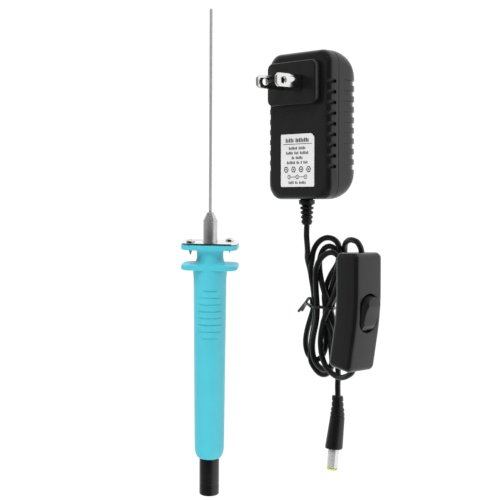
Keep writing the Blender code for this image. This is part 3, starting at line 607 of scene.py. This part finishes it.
def eight_sided(levels, corner):
    """The flanges' outline stacked along the pen. Each level is (along, inset)."""
    return stack([[(a, y, b) for a, b in blunted(octagon(inset), corner, 6)] for y, inset in levels])


def drill(item, low, high, bore, steps, screw, spots):
    """A middle bore and screw holes through a flange or plate, each of the given radius."""
    outlines = [circle(bore, steps)] + [circle(screw, 24, spot) for spot in spots]
    carve(item, [[prism(outline, low - 1, high + 1, "y")] for outline in outlines])


def screw_spots():
    return [(-SCREW_AT[0], SCREW_AT[1]), (SCREW_AT[0], -SCREW_AT[1])]


def build_plate(pen, finish):
    low, high = PLATE
    levels = [(low, 0.2), (low + 0.1, 0.1), (high - 0.14, 0.1), (high - 0.04, 0.16), (high, 0.28)]
    plate = make("clamp_plate_skin", [eight_sided(levels, 1.8)], finish, pen)
    drill(plate, low, high, 4.1, 48, 1.4, screw_spots())
    wear(plate, "pen", ["clamp_plate"])


def build_plate_screw(name, spot, turn, pen, finish):
    """A domed head with a cross recess, and a threaded shank that ends in a point."""
    place = pen @ Matrix.Translation(Vector((spot[0], 0, spot[1])) * MM) @ Matrix.Rotation(turn, 4, "Y")
    profile = [(132.1, 0), (132.5, 0.22)]
    along = 132.8
    while along < 138.1:
        core = min(0.72, (along - 132.1) * 0.42)
        crest = core + 0.3
        profile += [(along, core), (along + 0.26, crest), (along + 0.36, crest), (along + 0.6, core)]
        along += 0.7
    profile += [(139.02, 0.8), (139.02, 2.3), (139.2, 2.5), (139.6, 2.42)]
    profile += [(140.05, 1.95), (140.35, 1.1), (140.45, 0)]
    screw = make(name, [turned(profile, 40)], finish, place)
    carve(screw, [[box((-a, 139.65, -b), (a, 141, b))] for a, b in ((1.45, 0.28), (0.28, 1.45))])
    wear(screw, "pen", [name.replace("_skin", "")])


def build_needle_end(pen, bright, plain_steel):
    outside = [(137.1, 3.2), (137.1, 5.3), (137.85, 5.3), (137.85, 3.83), (149.5, 3.83), (149.65, 3.93)]
    outside += [(150.1, 3.93), (154.6, 1.65), (154.7, 1.1)]
    inside = [(151.7, 1.05), (149.5, 2.95), (137.1, 2.95)]
    shape = turned(rounded(outside, 0.12, 2) + inside, 72, True)
    wear(make("ferrule_skin", [shape], bright, pen, 25), "pen", ["ferrule"])
    tip = max((pen.inverted() @ (point * MM)).y for point in corners_of("needle")) / MM
    dome = tip - NEEDLE_END
    needle = [(135.4, 0), (135.4, NEEDLE_RADIUS), (dome, NEEDLE_RADIUS)]
    for turn in (0.3, 0.6, 0.9, 1.2, 1.45):
        needle.append((dome + NEEDLE_END * math.sin(turn), NEEDLE_RADIUS * math.cos(turn)))
    shape = turned(needle + [(tip, 0)], 32)
    wear(make("needle_skin", [shape], plain_steel, pen), "pen", ["needle"])


def build_sleeve(pen, finish):
    outside = [(0, 3.2), (0, 5), (0.35, 5.35), (5.6, 5.35), (5.8, 5.2), (6.2, 5.2), (6.4, 5.35)]
    outside = rounded(outside + [(20.6, 5.35), (20.6, 5), (30, 5)], 0.15, 3)
    inside = [(30, 4), (14, 4), (14, 1.3), (12, 1.3), (12, 3.2), (0.5, 3.2), (0.2, 3.45)]
    sleeve = make("tail_sleeve_skin", [turned(outside[1:] + inside, 72, True)], finish, pen)
    wear(sleeve, "pen", ["tail_sleeve"])


# Power supply


def body_ring(z, inset=0, steps=12):
    """The supply's outline at a height, drawn in where its back and front edges are round."""
    thick = BODY_THICK - inset
    halves = []
    for half, low_round in ((BODY_WIDE / 2, BACK_ROUND), (BODY_LONG / 2, END_ROUND)):
        reach = half - inset
        low = low_round - inset
        top = max(FRONT_ROUND - inset, 0.4)
        if z - inset < low:
            reach -= low - math.sqrt(max(0, low**2 - (low - (z - inset)) ** 2))
        if z > thick - top:
            reach -= top - math.sqrt(max(0, top**2 - (z - thick + top) ** 2))
        halves.append(reach)
    outline = rounded_rectangle(halves[0], halves[1], PLAN_ROUND - inset, steps)
    return [(a, b, z) for a, b in outline]


def vent_shapes():
    """The vents' notches over the front cover's long edges, and the slots through its sides."""
    edge = BODY_WIDE / 2
    top = BODY_THICK
    notches = []
    holes = []
    for side in (-1, 1):
        for y in VENT_MIDDLES:
            corner = [(edge - 2.5, top + 0.3), (edge + 0.4, top - 4.4), (edge + 1.4, top + 1.2)]
            notches.append(prism([(side * a, b) for a, b in corner], y - 1.3, y + 1.3, "y"))
            ends = sorted((side * (edge - 3), side * (edge + 1)))
            slot = stadium(0.95, 0.75, 6, (y, top - 4.25))
            holes.append(prism(slot, ends[0], ends[1], "x"))
    return notches, holes


def build_front(supply, finish):
    rim = SEAM_Z + SEAM_GAP
    top = BODY_THICK
    arcs = [math.pi / 2 * i / 8 for i in range(9)]
    heights = [rim, rim + 0.25] + [top - FRONT_ROUND + FRONT_ROUND * math.sin(t) for t in arcs]
    outer = [body_ring(z) for z in heights]
    inner = [body_ring(z, WALL) for z in (rim, top - WALL - 0.5, top - WALL)]
    cover = make("front_cover_skin", [stack(outer[::-1] + inner)], finish, supply)
    wide, long, high = BOSS
    boss_top = top + high
    rings = []
    for z, i in ((-high - 1, 0), (-0.8, 0), (-0.35, 0.12), (-0.1, 0.4), (0, 0.8)):
        outline = rounded_rectangle(wide / 2 - i, long / 2 - i, 3.2 - i, 8)
        rings.append([(a + BOSS_X, b + BOSS_Y, boss_top + z) for a, b in outline])
    carve(cover, [[stack(rings)]], "UNION")
    slots = []
    for x in (-BLADE_X, BLADE_X):
        slots.append(box((x - 0.8, BLADE_Y - 3.23, top - 5), (x + 0.8, BLADE_Y + 3.23, boss_top + 2)))
    notches, holes = vent_shapes()
    pocket = [prism(label_outline(0.2), top - 0.35, top + 1, "z")]
    carve(cover, [slots, notches, holes, pocket, cord_hole()])
    wear(cover, "supply", ["front_cover"])


def cord_hole():
    wall = -BODY_LONG / 2
    return [prism(circle(3.45, 32, (0, SEAM_Z)), wall - 2, wall + 4, "y")]


def groove_shapes():
    """Finger grooves round the back cover's long edges, one in line with each vent."""
    centre = BODY_WIDE / 2 - BACK_ROUND
    turns = [math.radians(-65) * i / 16 for i in range(17)]
    rows = []
    for radius in (BACK_ROUND - FINGER_DEEP, BACK_ROUND + 1.5):
        arc = [(centre + radius * math.cos(t), BACK_ROUND + radius * math.sin(t)) for t in turns]
        rows.append([(centre + radius, 13)] + arc)
    grooves = []
    for side in (-1, 1):
        outline = [(side * a, b) for a, b in rows[0] + rows[1][::-1]]
        grooves += [prism(outline, y - 1.2, y + 1.2, "y") for y in VENT_MIDDLES]
    return grooves


def build_back(supply, finish):
    rim = SEAM_Z - SEAM_GAP
    heights = [rim, rim - 0.25, END_ROUND, 14, 12.5, 11, BACK_ROUND]
    heights += [BACK_ROUND * (1 - math.sin(math.pi / 2 * i / 12)) for i in range(1, 13)]
    outer = [body_ring(z) for z in heights]
    inner = [body_ring(z, WALL) for z in (rim, END_ROUND, 12.5, BACK_ROUND, 6.2, 4, 2.6, WALL)]
    cover = make("back_cover_skin", [stack(outer[::-1] + inner)], finish, supply)
    carve(cover, [groove_shapes(), cord_hole()])
    wear(cover, "supply", ["back_cover"])


def label_outline(grow=0):
    left, bottom = (value - grow for value in LABEL_LOW)
    right, top = (value + grow for value in LABEL_HIGH)
    raw = [(left, bottom), (right, bottom), (right, top - 1.8), (right - 1.8, top), (left, top)]
    return blunted(raw, 0.7, 4)


def build_label(supply, film, print_ink):
    shape = prism(label_outline(), BODY_THICK - 0.3, BODY_THICK - 0.02, "z")
    wear(make("label_skin", [shape], film, supply), "supply", ["label"])
    wear(make("label_print", label_marks(), print_ink, supply), "supply", [])


def label_marks():
    """Rows of small blocks and plain symbols where a label has its print: generic, with no lettering."""
    low, high = BODY_THICK - 0.03, BODY_THICK + 0.005
    marks = []
    rows = [
        (-7, 2, 1.12, (5, 8)),
        (-10.8, 1.35, 0.94, (6, 5)),
        (-13.1, 1.35, 0.94, (5, 3, 6)),
        (-15.4, 1.35, 0.94, (2, 5)),
        (-17.7, 1.35, 0.94, (6, 2, 1, 3)),
        (-27.3, 1.3, 0.9, (4, 2, 5)),
    ]
    for y, tall, pitch, words in rows:
        x = -pitch * (sum(words) + 0.9 * (len(words) - 1)) / 2
        for count in words:
            for letter in range(count):
                short = 0.22 * tall * ((letter * 7 + count * 3) % 3 == 1)
                marks.append(box((x, y - tall / 2, low), (x + 0.68 * pitch, y + tall / 2 - short, high)))
                x += pitch
            x += 0.9 * pitch
    marks.append(box((-9.4, -8.95, low), (9.4, -8.65, high)))
    for x in (-7.4, -2.5, 2.5, 7.4):
        marks.append(hoop((x, -21), 1.6, 1.05, low, high, 6))
        marks.append(box((x - 0.45, -21.4, low), (x + 0.45, -20.6, high)))
    for x in (-5.4, 0, 5.4):
        marks.append(hoop((x, -24.6), 1.1, 0.75, low, high))
        marks.append(prism(circle(0.3, 10, (x, -24.6)), low, high, "z"))
    return marks + [box((x, -24.75, low), (x + 3.2, -24.45, high)) for x in (-4.3, 1.1)]


def hoop(centre, outer, inner, low, high, steps=20):
    """A flat ring on the label."""
    points, faces = turned([(low, outer), (high, outer), (high, inner), (low, inner)], steps, True)
    return [(centre[0] + x, centre[1] + z, y) for x, y, z in points], faces


def build_blade(name, side, supply, finish):
    """A flat prong with a rounded edge all round, chamfered corners and a round hole."""
    top = BODY_THICK + BOSS[2]
    root, tip = top - 9, top + 17
    low, high = BLADE_Y - BLADE_WIDE / 2, BLADE_Y + BLADE_WIDE / 2
    far = tip - 1.5
    outline = [(low, root), (high, root), (high, far), (high - 1.35, tip), (low + 1.35, tip), (low, far)]
    x = side * BLADE_X
    prong = make(name, [prism(outline, x - BLADE_THICK / 2, x + BLADE_THICK / 2, "x")], finish, supply)
    carve(prong, [[prism(circle(1.6, 32, (BLADE_Y, tip - 4.8)), x - 2, x + 2, "x")]])
    soften(prong, 0.16, 2, 40)
    wear(prong, "supply", [name.replace("_skin", "")])


def build_relief(supply, finish):
    wall = BODY_LONG / 2
    profile = [(wall - 4.4, 0), (wall - 4.4, 4.6), (wall - 2.9, 4.6), (wall - 2.9, 3.1), (wall + 0.3, 3.1)]
    profile += [(wall + 0.3, 3.95), (wall + 2.3, 3.85), (wall + 2.9, 2.5)]
    for i in range(4):
        start = wall + 3.4 + 2.2 * i
        radius = 3.3 - 0.2 * i
        profile += [(start, 2.3), (start + 0.25, radius), (start + 1.35, radius), (start + 1.6, 2.3)]
    profile += [(wall + 12.3, 2.2), (wall + 12.3, 0)]
    points, faces = turned(rounded(profile, 0.22, 3), 48)
    points = [(x, -y, z + SEAM_Z) for x, y, z in points]
    relief = make("strain_relief_skin", [(points, faces)], finish, supply, 45)
    wear(relief, "supply", ["strain_relief"])


# Inline switch


def bent(point):
    """The switch is straight above its middle and leans back below it, with an eased bend between."""
    x, y, z = point
    reach = BEND_REACH
    rate = SWITCH_BEND / (2 * reach)
    turn = rate * max(0, min(2 * reach, reach - y))
    across = (1 - math.cos(turn)) / rate
    down = math.sin(turn) / rate
    beyond = max(0, -reach - y)
    across += beyond * math.sin(turn)
    down += beyond * math.cos(turn)
    level = max(y, reach) - down
    return across + x * math.cos(turn), level + x * math.sin(turn), z


def housing_ring(x, inset, steps):
    """The switch's outline at one distance from its middle plane, with extra points across the bend."""
    long, _, high = SWITCH_HALF
    corner = max(3 - inset, 0.8)
    outline = []
    sides = [BEND_REACH * (1 - 2 * i / BEND_STEPS) for i in range(BEND_STEPS + 1)]
    for number, (y, z) in enumerate(rounded_rectangle(long - inset, high / 2 - inset, corner, steps)):
        outline.append((y, z))
        if number == steps:
            outline += [(side, high / 2 - inset) for side in sides]
        if number == 3 * steps + 2:
            outline += [(-side, inset - high / 2) for side in sides]
    return [bent((x, y, z + high / 2)) for y, z in outline]


def housing_half(rim, end, edge, steps=8):
    """A hollow half of the switch's case from its open rim to its closed end, whose edge is round."""
    way = 1 if end > rim else -1
    outer = [housing_ring(rim, 0, steps)]
    for i in range(7):
        turn = math.pi / 2 * i / 6
        x = end - way * edge * (1 - math.sin(turn))
        outer.append(housing_ring(x, edge * (1 - math.cos(turn)), steps))
    inner = [housing_ring(x, SWITCH_WALL, steps) for x in (rim, end - way * SWITCH_WALL)]
    points, faces = stack(outer[::-1] + inner)
    split = []
    for face in faces[:2]:
        split += strips(face, steps)
    return points, split + faces[2:]


def strips(face, steps):
    """An end face split across the bend, where it isn't flat."""
    first = steps + 1
    second = first + BEND_STEPS + 1 + 2 * (steps + 1)
    ends = second + BEND_STEPS
    pieces = [face[ends:] + face[: first + 1], face[first + BEND_STEPS : second + 1]]
    for i in range(BEND_STEPS):
        pieces.append((face[first + i], face[first + i + 1], face[ends - i - 1], face[ends - i]))
    return pieces


def turned_place(switch, x, turn):
    """A place on the line that halves the switch's bend, turned about z."""
    half = SWITCH_BEND / 2
    spot = Vector((x * math.cos(half), x * math.sin(half), SWITCH_HALF[2] / 2))
    return switch @ Matrix.Translation(spot * MM) @ Matrix.Rotation(half + turn, 4, "Z")


def cord_ways():
    long, _, high = SWITCH_HALF
    ways = []
    for side in (-1, 1):
        ends = sorted((side * (long - 3), side * (long + 2)))
        points, faces = prism(circle(1.7, 24, (SWITCH_SEAM, high / 2)), *ends, "y")
        ways.append(([bent(point) for point in points], faces))
    return ways


def build_switch(switch, finish, rocker_finish):
    half = SWITCH_HALF[1]
    base = make("switch_base_skin", [housing_half(SWITCH_SEAM - 0.03, -half, BASE_EDGE)], finish, switch)
    cover = make("switch_cover_skin", [housing_half(SWITCH_SEAM + 0.03, half, COVER_EDGE)], finish, switch)
    window = [prism(stadium(9.4, 6.2, 20), 4.9, 10, "x")]
    lip = [prism(stadium(9.8, 6.5, 20), 6.25, 10, "x")]
    carve(base, [cord_ways(), screw_sinks()])
    carve(cover, [cord_ways()])
    carve(cover, [window, lip], place=turned_place(switch, 0, 0))
    wear(base, "supply", ["switch_base"])
    wear(cover, "supply", ["switch_cover"])
    build_rocker(switch, rocker_finish)


def screw_sinks():
    """Round sinks in the base over its two screws, square to the side of the bend that each is on."""
    half = SWITCH_HALF[1]
    sinks = []
    for y, z in SWITCH_SCREWS:
        points, faces = prism(circle(2, 24, (y, z)), -half - 1, -half + 1.5, "x")
        turn = Matrix.Rotation(0 if y > 0 else SWITCH_BEND, 3, "Z")
        sinks.append(([tuple(turn @ Vector(point)) for point in points], faces))
    return sinks


def build_rocker(switch, finish):
    """The rocker as it lies at rest: its upper end stands out and its lower end is pressed in."""
    place = turned_place(switch, ROCKER_AXIS_X, ROCKER_REST)
    ridges = [(4.3, -4.9), (4.05, -2.5), (3.95, 0), (4.05, 2.5), (4.3, 4.9)]
    outline = [(-1.2, -8.7), (2.7, -8.7)] + ridges + [(2.7, 8.7), (-1.2, 8.7)]
    rocker = make("rocker_skin", [prism(outline, -6.6, 6.6, "z")], finish, place)
    plan = ((-2, 8.7, 5.7), (2.2, 8.7, 5.7), (3.4, 8.6, 5.2), (4.6, 8.2, 3.6))
    rings = [[(x, a, b) for a, b in stadium(long, wide, 24)] for x, long, wide in plan]
    carve(rocker, [[stack(rings)]], "INTERSECT")
    carve(rocker, [[prism(circle(1.15, 24), -7, 7, "z")]])
    soften(rocker, 0.22, 3, 22)
    wear(rocker, "rocker", ["rocker"])


# Plug


def build_plug(plug, rubber, bright, yellow):
    end = PLUG_END
    boot = [(0, 1), (0, 2.5), (0.3, 2.75)]
    for low, high, radius in BOOT_GROOVES:
        deep = radius - 0.28
        boot += [(low, radius), (low + 0.12, deep), (high - 0.12, deep), (high, radius)]
    boot += [(10.6, 3.6), (end - 0.5, 4.36), (end, 4.05), (end, 2.95), (end - 6, 2.95), (end - 6, 1)]
    points, faces = turned([(0, 0)] + rounded(boot, 0.2, 3) + [(end - 6, 0)], 48)
    points = [(x + BOOT_BOW * math.sin(math.pi * y / end), y, z) for x, y, z in points]
    wear(make("plug_boot_skin", [(points, faces)], rubber, plug, 45), "supply", ["plug_boot"])
    barrel = rounded([(end - 5.6, 2.35), (end - 5.6, 2.75), (end + 9.4, 2.75), (end + 9.4, 2.35)], 0.1, 2)
    insulator = [(end - 5.4, 1.5), (end - 5.4, 2.15), (end + 9.6, 2.15), (end + 9.6, 2.6)]
    insulator = rounded(insulator + [(end + 10.5, 2.5), (end + 10.5, 1.5)], 0.12, 2)
    contact = [(end - 5.2, 1.05), (end - 5.2, 1.35), (end + 10, 1.35), (end + 10, 1.05)]
    rings = (
        ("plug_barrel_skin", barrel, 48, bright, "plug_barrel", "nickel"),
        ("plug_insulator_skin", insulator, 40, yellow, "plug_insulator", "yellow_insulator"),
        ("plug_contact_skin", contact, 32, bright, "plug_inner_contact", "nickel"),
    )
    for name, profile, steps, finish, node, slot in rings:
        wear(make(name, [turned(profile, steps, True)], finish, plug), "supply", [node])


# Cords

RELIEF_INSIDE = (33.8, 20.2, 16.6)
TIE_AT = (32.6, -22.2, 4.6)
TIE_RADIUS = 0.6
TIE_END_RADIUS = 0.72
TIE_ENDS = (
    [(29.4, -20.6, 8.6), (28.9, -18.4, 8.2), (26.5, -18.1, 7.4),
     (22.4, -20.3, 5), (17.4, -23.3, 2.6), (13.6, -25.7, 1)],
    [(29.1, -22, 8.4), (26.5, -21.4, 7.2), (23.1, -21, 5.4), (19.9, -22.5, 3.2), (16.2, -25.1, 1.2)],
)
CORD_SPACING = 1.1
FIRST_CORD = LEAD_ROUTE + [
    (27.5, 1.5, 8.6), (26.1, -2.6, 6.2), (25.8, -9.1, 4.4), (25.9, -15.7, 3), (25.4, -22.3, 2.2),
    (23.6, -26.6, 2), (21.7, -30.3, 1.7), (20.1, -34.1, 1.5), (19, -37.9, 1.45), (18.6, -41, 1.45),
    (18.9, -44.2, 1.45), (20.4, -47, 1.45), (23.1, -49.4, 1.45), (26.8, -49.9, 1.45),
    (30.2, -47.5, 1.45), (32.2, -44.6, 1.45), (32.9, -41.6, 1.45), (33.1, -39.2, 1.45),
    (32.7, -33.8, 1.45), (32.3, -27.8, 1.5), (32.5, -21.8, 1.7), (35.5, -15.7, 2), (39, -9, 2.6),
    (42.7, -2.5, 3.4), (45.4, 2.5, 4.2), (46.2, 5.7, 4.8), (45.5, 8.6, 5.2), (43.8, 10.8, 5.5),
    (41.3, 12.2, 5.8), (38.4, 12.8, 6.2), (35.6, 12.3, 6.6), (33, 10.7, 7.1), (30.9, 8.1, 7.6),
    (29.2, 4.6, 8), (28.2, 1.1, 8.1), (27.8, -2.4, 7.9), (27.9, -8.9, 6.8), (28.4, -15.6, 5.4),
    (28.9, -21.9, 4.8), (28.1, -26.1, 4.2), (26.7, -31.6, 3.4), (24.4, -37.2, 2.6), (23.1, -42.8, 2),
    (22.8, -47.5, 1.6), (23.6, -51.2, 1.5), (25.5, -54.3, 1.45), (27.9, -56.1, 1.45),
    (30.6, -56.9, 1.45), (33.5, -56.3, 1.6), (35.7, -54.4, 1.6), (36.9, -51.6, 1.5),
    (36.9, -47.8, 1.45), (36.1, -42.8, 1.45), (35.9, -37, 1.45), (35.7, -30, 1.5), (36.5, -22, 1.7),
    (41.5, -14.3, 3.2), (43.2, -7.4, 3), (44.7, -0.4, 3.2), (45.6, 4.5, 4), (46.9, 7.9, 5),
    (50.1, 10.6, 6.5), (53.6, 12, 8), (56.9, 11.8, 8.9), (59.9, 10.6, 9.4), (61.9, 8.3, 9.6),
    (62.7, 5.9, 9.6), (62.8, 4.4, 9.6),
]
SECOND_CORD = [
    (58.1, -48.8, 9.6), (57.7, -50.2, 9.6), (56.7, -51.7, 9.4), (55, -52.9, 9.1), (52.4, -54.2, 8.6),
    (49.7, -55.3, 7.8), (45.9, -55.7, 7.2), (42.3, -54.5, 6.8), (38.4, -52.3, 6.6), (35.9, -49.4, 6.4),
    (34.2, -46, 6.2), (33.3, -41.5, 6.2), (33.6, -36.2, 6.4), (35.4, -30.7, 6.8), (37.9, -25.2, 7.2),
    (40.2, -21, 7.4), (42.9, -16.9, 7.4), (45, -12.4, 7.2), (47.1, -7, 7.2), (48.4, -2.3, 7.4),
    (48.5, 0.9, 7.6), (47.1, 3.8, 7.8), (44.6, 5.6, 8.1), (41.6, 5.8, 8.4), (38.6, 4.5, 8.8),
    (35.5, 1.8, 9.2), (33.7, -1.1, 9.4), (32.9, -4.6, 9.4), (32.7, -8.6, 9), (32.2, -15.5, 8),
    (32.3, -21.5, 7.4), (31.9, -25.6, 7), (30.3, -31.1, 6.2), (27.9, -36.7, 5.4), (26.5, -42.2, 4.8),
    (26.5, -46.9, 4.3), (28, -50.4, 4), (30.9, -52.9, 3.8), (34.2, -53.8, 3.8), (37.2, -52.9, 4),
    (39.4, -50.4, 4.4), (40.5, -46.7, 4.6), (40.3, -41.3, 4.6), (39.5, -35, 4.4), (37.2, -28.4, 4.4),
    (34.9, -21.7, 4.4), (34.2, -17.3, 4.4), (34.2, -13.3, 3.6), (35.1, -8.2, 2.2), (38.3, -3.8, 2.4),
    (42, -1, 3), (43.9, 2.2, 3.9), (43.6, 5.4, 4.6), (41.6, 8, 5.2), (38.6, 8.8, 5.6), (35.7, 7.8, 6),
    (33.7, 5.2, 6.2), (32.6, 0.7, 6.4), (32.7, -3.5, 6.2), (33.8, -8.2, 6.4), (35.6, -12.3, 7),
    (37.1, -16.8, 6.4), (37.7, -21.3, 4.6), (37.9, -25.3, 3.6), (38.2, -30.3, 2.6), (38.3, -35.8, 1.7),
    (39, -42.2, 1.45), (40.2, -48.5, 1.45), (41, -53.4, 1.45), (40.9, -56.4, 1.45), (40.6, -59.9, 1.45),
    (40.9, -63.3, 1.7), (41.8, -66, 2.7), (41.7, -68, 3),
]
SETTLE_ROUNDS = 320
SETTLE_STEP = 1.9
SETTLE_PUSH = 0.32
SETTLE_SMOOTH = 0.12
SETTLE_PULL = 0.08
LAST_ROUNDS = 3
LAST_SMOOTH = 0.3
HELD_POINTS = 5
CLEAR = CORD + 0.12
SWITCH_CLEAR = 0.25
FLOOR_CLEAR = 0.03


def settled(routes):
    """Several cords eased apart together until they lie on and beside each other, never through.

    Each point is pulled weakly to its route, keeps its distance along the cord and is pushed out of any
    other stretch, of the surface below and of the switch beside the hank. The ends stay where they are.
    """
    starts = [np.array(smooth_route(route, SETTLE_STEP), float) for route in routes]
    counts = [len(points) for points in starts]
    where = np.concatenate(starts)
    home = where.copy()
    owner = np.repeat(np.arange(len(counts)), counts)
    order = np.concatenate([np.arange(count) for count in counts])
    fixed = np.minimum(order, np.repeat(counts, counts) - 1 - order) < HELD_POINTS
    near = (owner[:, None] == owner) & (np.abs(order[:, None] - order) < HELD_POINTS)
    for _ in range(SETTLE_ROUNDS):
        apart = where[:, None] - where
        far = np.linalg.norm(apart, axis=2) + 1e-9
        push = np.where((far < CLEAR) & ~near, (CLEAR - far) / far, 0)
        move = SETTLE_PUSH * (apart * push[:, :, None]).sum(axis=1)
        move[1:-1] += SETTLE_SMOOTH * ((where[:-2] + where[2:]) / 2 - where[1:-1])
        move += SETTLE_PULL * (home - where)
        move[fixed] = 0
        where = where + move
        where[:, 2] = np.maximum(where[:, 2], CORD / 2 + FLOOR_CLEAR)
        keep_off_switch(where, fixed)
    for _ in range(LAST_ROUNDS):
        between = (where[:-2] + where[2:]) / 2
        free = ~fixed[1:-1]
        where[1:-1][free] += LAST_SMOOTH * (between - where[1:-1])[free]
    ends = np.cumsum(counts)[:-1]
    return [[Vector(point) for point in run] for run in np.split(where, ends)]


def keep_off_switch(where, fixed):
    """Moves points out of the band beside the switch's base, which leans away below its bend."""
    switch = switch_place().translation / MM
    half = SWITCH_HALF[1] + CORD / 2 + SWITCH_CLEAR
    y = where[:, 1] - switch.y
    wall = switch.x - half + np.where(y < 0, -y * math.tan(SWITCH_BEND), 0)
    beside = (np.abs(y) < SWITCH_HALF[0]) & ~fixed
    where[beside, 0] = np.minimum(where[:, 0], wall)[beside]


def build_cords(skin):
    first, second = settled([FIRST_CORD, SECOND_CORD])
    first = smooth_route([Vector(RELIEF_INSIDE)] + first, CORD_SPACING)
    second = smooth_route(second, CORD_SPACING)
    lead = tube("cord_supply_to_switch", first, CORD / 2, skin)
    wear(lead, "supply", ["cord_from_supply", "cord_hank", "cord_to_switch"])
    tail = tube("cord_switch_to_plug", second, CORD / 2, skin)
    wear(tail, "supply", ["cord_from_switch", "cord_to_plug"])
    ties = build_tie(first + second, skin)


def build_tie(cords, finish):
    """A thin tie round the hank's waist, just outside the strands, with its two ends left long."""
    strands = [point for point in cords if abs(point.y - TIE_AT[1]) < 1.2]
    centre = (TIE_AT[0], TIE_AT[2])
    loop = []
    steps = 48
    for i in range(steps):
        turn = 2 * math.pi * i / steps
        way = (math.cos(turn), math.sin(turn))
        reach = max((p.x - centre[0]) * way[0] + (p.z - centre[1]) * way[1] for p in strands)
        loop.append((turn, reach + CORD / 2 + TIE_RADIUS))
    points = support_loop(loop, centre)
    wires = [tube("hank_tie_loop", smooth_route(points + points[:1], 0.8), TIE_RADIUS, finish)]
    for number, route in enumerate(TIE_ENDS):
        wires.append(tube(f"hank_tie_end_{number}", smooth_route(route, 0.5), TIE_END_RADIUS, finish))
    return [wear(wire, "supply", ["hank_tie"]).name for wire in wires]


def support_loop(loop, centre):
    """The closed line that touches every one of the loop's (turn, reach) tangents."""
    points = []
    count = len(loop)
    for i in range(count):
        (t1, r1), (t2, r2) = loop[i], loop[(i + 1) % count]
        d = math.sin(t2 - t1)
        x = (r1 * math.sin(t2) - r2 * math.sin(t1)) / d
        z = (r2 * math.cos(t1) - r1 * math.cos(t2)) / d
        points.append((centre[0] + x, TIE_AT[1] + 0.35 * math.sin(t1), max(0.45, centre[1] + z)))
    return points


# Floor, lights and camera


def build_stage():
    mesh = bpy.data.meshes.new("floor")
    corners = [(x * FLOOR_HALF, y * FLOOR_HALF, 0) for x, y in ((-1, -1), (1, -1), (1, 1), (-1, 1))]
    mesh.from_pydata(corners, [], [(0, 1, 2, 3)])
    floor = in_scene("floor", mesh)
    floor.location.z = -0.0001
    looks = {"Base Color": (0.05, 0.05, 0.05, 1), "Roughness": 0.9, "Specular IOR Level": 0}
    glow = {"Emission Color": (1, 1, 1, 1), "Emission Strength": FLOOR_GLOW}
    mesh.materials.append(principled("floor_white", {**looks, **glow})[0])


def area_light(name, place, power):
    """A lamp aimed at the object and left out of its reflections."""
    data = bpy.data.lights.new(name, "AREA")
    data.shape = "RECTANGLE"
    data.size, data.size_y = LAMP_SIZE
    data.energy = power
    item = in_scene(name, data)
    item.location = place
    item.rotation_euler = (-Vector(place)).to_track_quat("-Z", "Y").to_euler()
    item.visible_glossy = False


def build_sky(tree):
    """A studio round the object: white low down, grey overhead and dark on the camera's side."""
    way = add_node(tree, "ShaderNodeTexCoord").outputs["Generated"]
    parts = add_node(tree, "ShaderNodeSeparateXYZ", sockets={"Vector": way}).outputs
    stops = [(0.12, [1] * 3), (0.55, [SKY_MIDDLE] * 3), (1, [SKY_TOP] * 3)]
    rise = colour_ramp(tree, parts["Z"], stops)
    facing = add_node(tree, "ShaderNodeVectorMath", {1: DARK_SIDE}, {0: way}, "DOT_PRODUCT")
    shade = spread_between(tree, facing.outputs["Value"], (0.55, 0.88), (1, 0.05), "SMOOTHSTEP")
    sideways = add_node(tree, "ShaderNodeMath", None, {0: parts["Y"]}, "ABSOLUTE")
    ends = spread_between(tree, sideways.outputs["Value"], (0.25, 0.75), (1, 0.4), "SMOOTHSTEP")
    share = add_node(tree, "ShaderNodeMath", None, {0: shade, 1: ends}, "MULTIPLY").outputs["Value"]
    both = add_node(tree, "ShaderNodeVectorMath", None, {0: rise, "Scale": share}, "SCALE")
    link(tree, tree.nodes["Background"], {"Color": both.outputs["Vector"]})


def build_lights():
    world = bpy.data.worlds.new("studio")
    bpy.context.scene.world = world
    world.use_nodes = True
    build_sky(world.node_tree)
    x, y, z = LAMP_PLACE
    area_light("key", (x, y, z), KEY_POWER)
    area_light("fill", (x, -y, z), FILL_POWER)


def build_camera():
    data = bpy.data.cameras.new("camera")
    data.lens = CAMERA_LENS
    data.sensor_width = 36
    data.clip_start = 0.01
    item = in_scene("camera", data)
    look = Vector(CAMERA_LOOK).normalized()
    up = Vector(CAMERA_UP)
    up = (up - look * up.dot(look)).normalized()
    turn = Matrix((look.cross(up), up, -look)).transposed().to_4x4()
    item.matrix_world = Matrix.Translation(CAMERA_AT) @ turn
    bpy.context.scene.camera = item


build_camera()
build_lights()
build_stage()
bpy.context.scene.view_settings.view_transform = "Standard"

finishes = all_finishes()
pen_at = pen_place()
supply_at = supply_place()

build_handle(pen_at, finishes["blue_plastic"])
build_plate(pen_at, finishes["nickel"])
screws = ("plate_screw_near_skin", "plate_screw_far_skin")
for screw_name, spot, turn in zip(screws, screw_spots(), (0.5, 0.1)):
    build_plate_screw(screw_name, spot, turn, pen_at, finishes["nickel"])
build_needle_end(pen_at, finishes["turned_steel"], finishes["steel"])
build_sleeve(pen_at, finishes["sleeve_plastic"])

build_front(supply_at, finishes["black_plastic"])
build_back(supply_at, finishes["black_plastic"])
build_label(supply_at, finishes["label_film"], finishes["label_ink"])
build_blade("prong_left_skin", -1, supply_at, finishes["nickel"])
build_blade("prong_right_skin", 1, supply_at, finishes["nickel"])
build_relief(supply_at, finishes["boot_rubber"])

build_switch(switch_place(), finishes["switch_plastic"], finishes["rocker_plastic"])
build_plug(plug_place(), finishes["boot_rubber"], finishes["barrel_metal"], finishes["yellow_insulator"])
build_cords(finishes["cord_skin"])
finish_hidden_pieces(finishes)
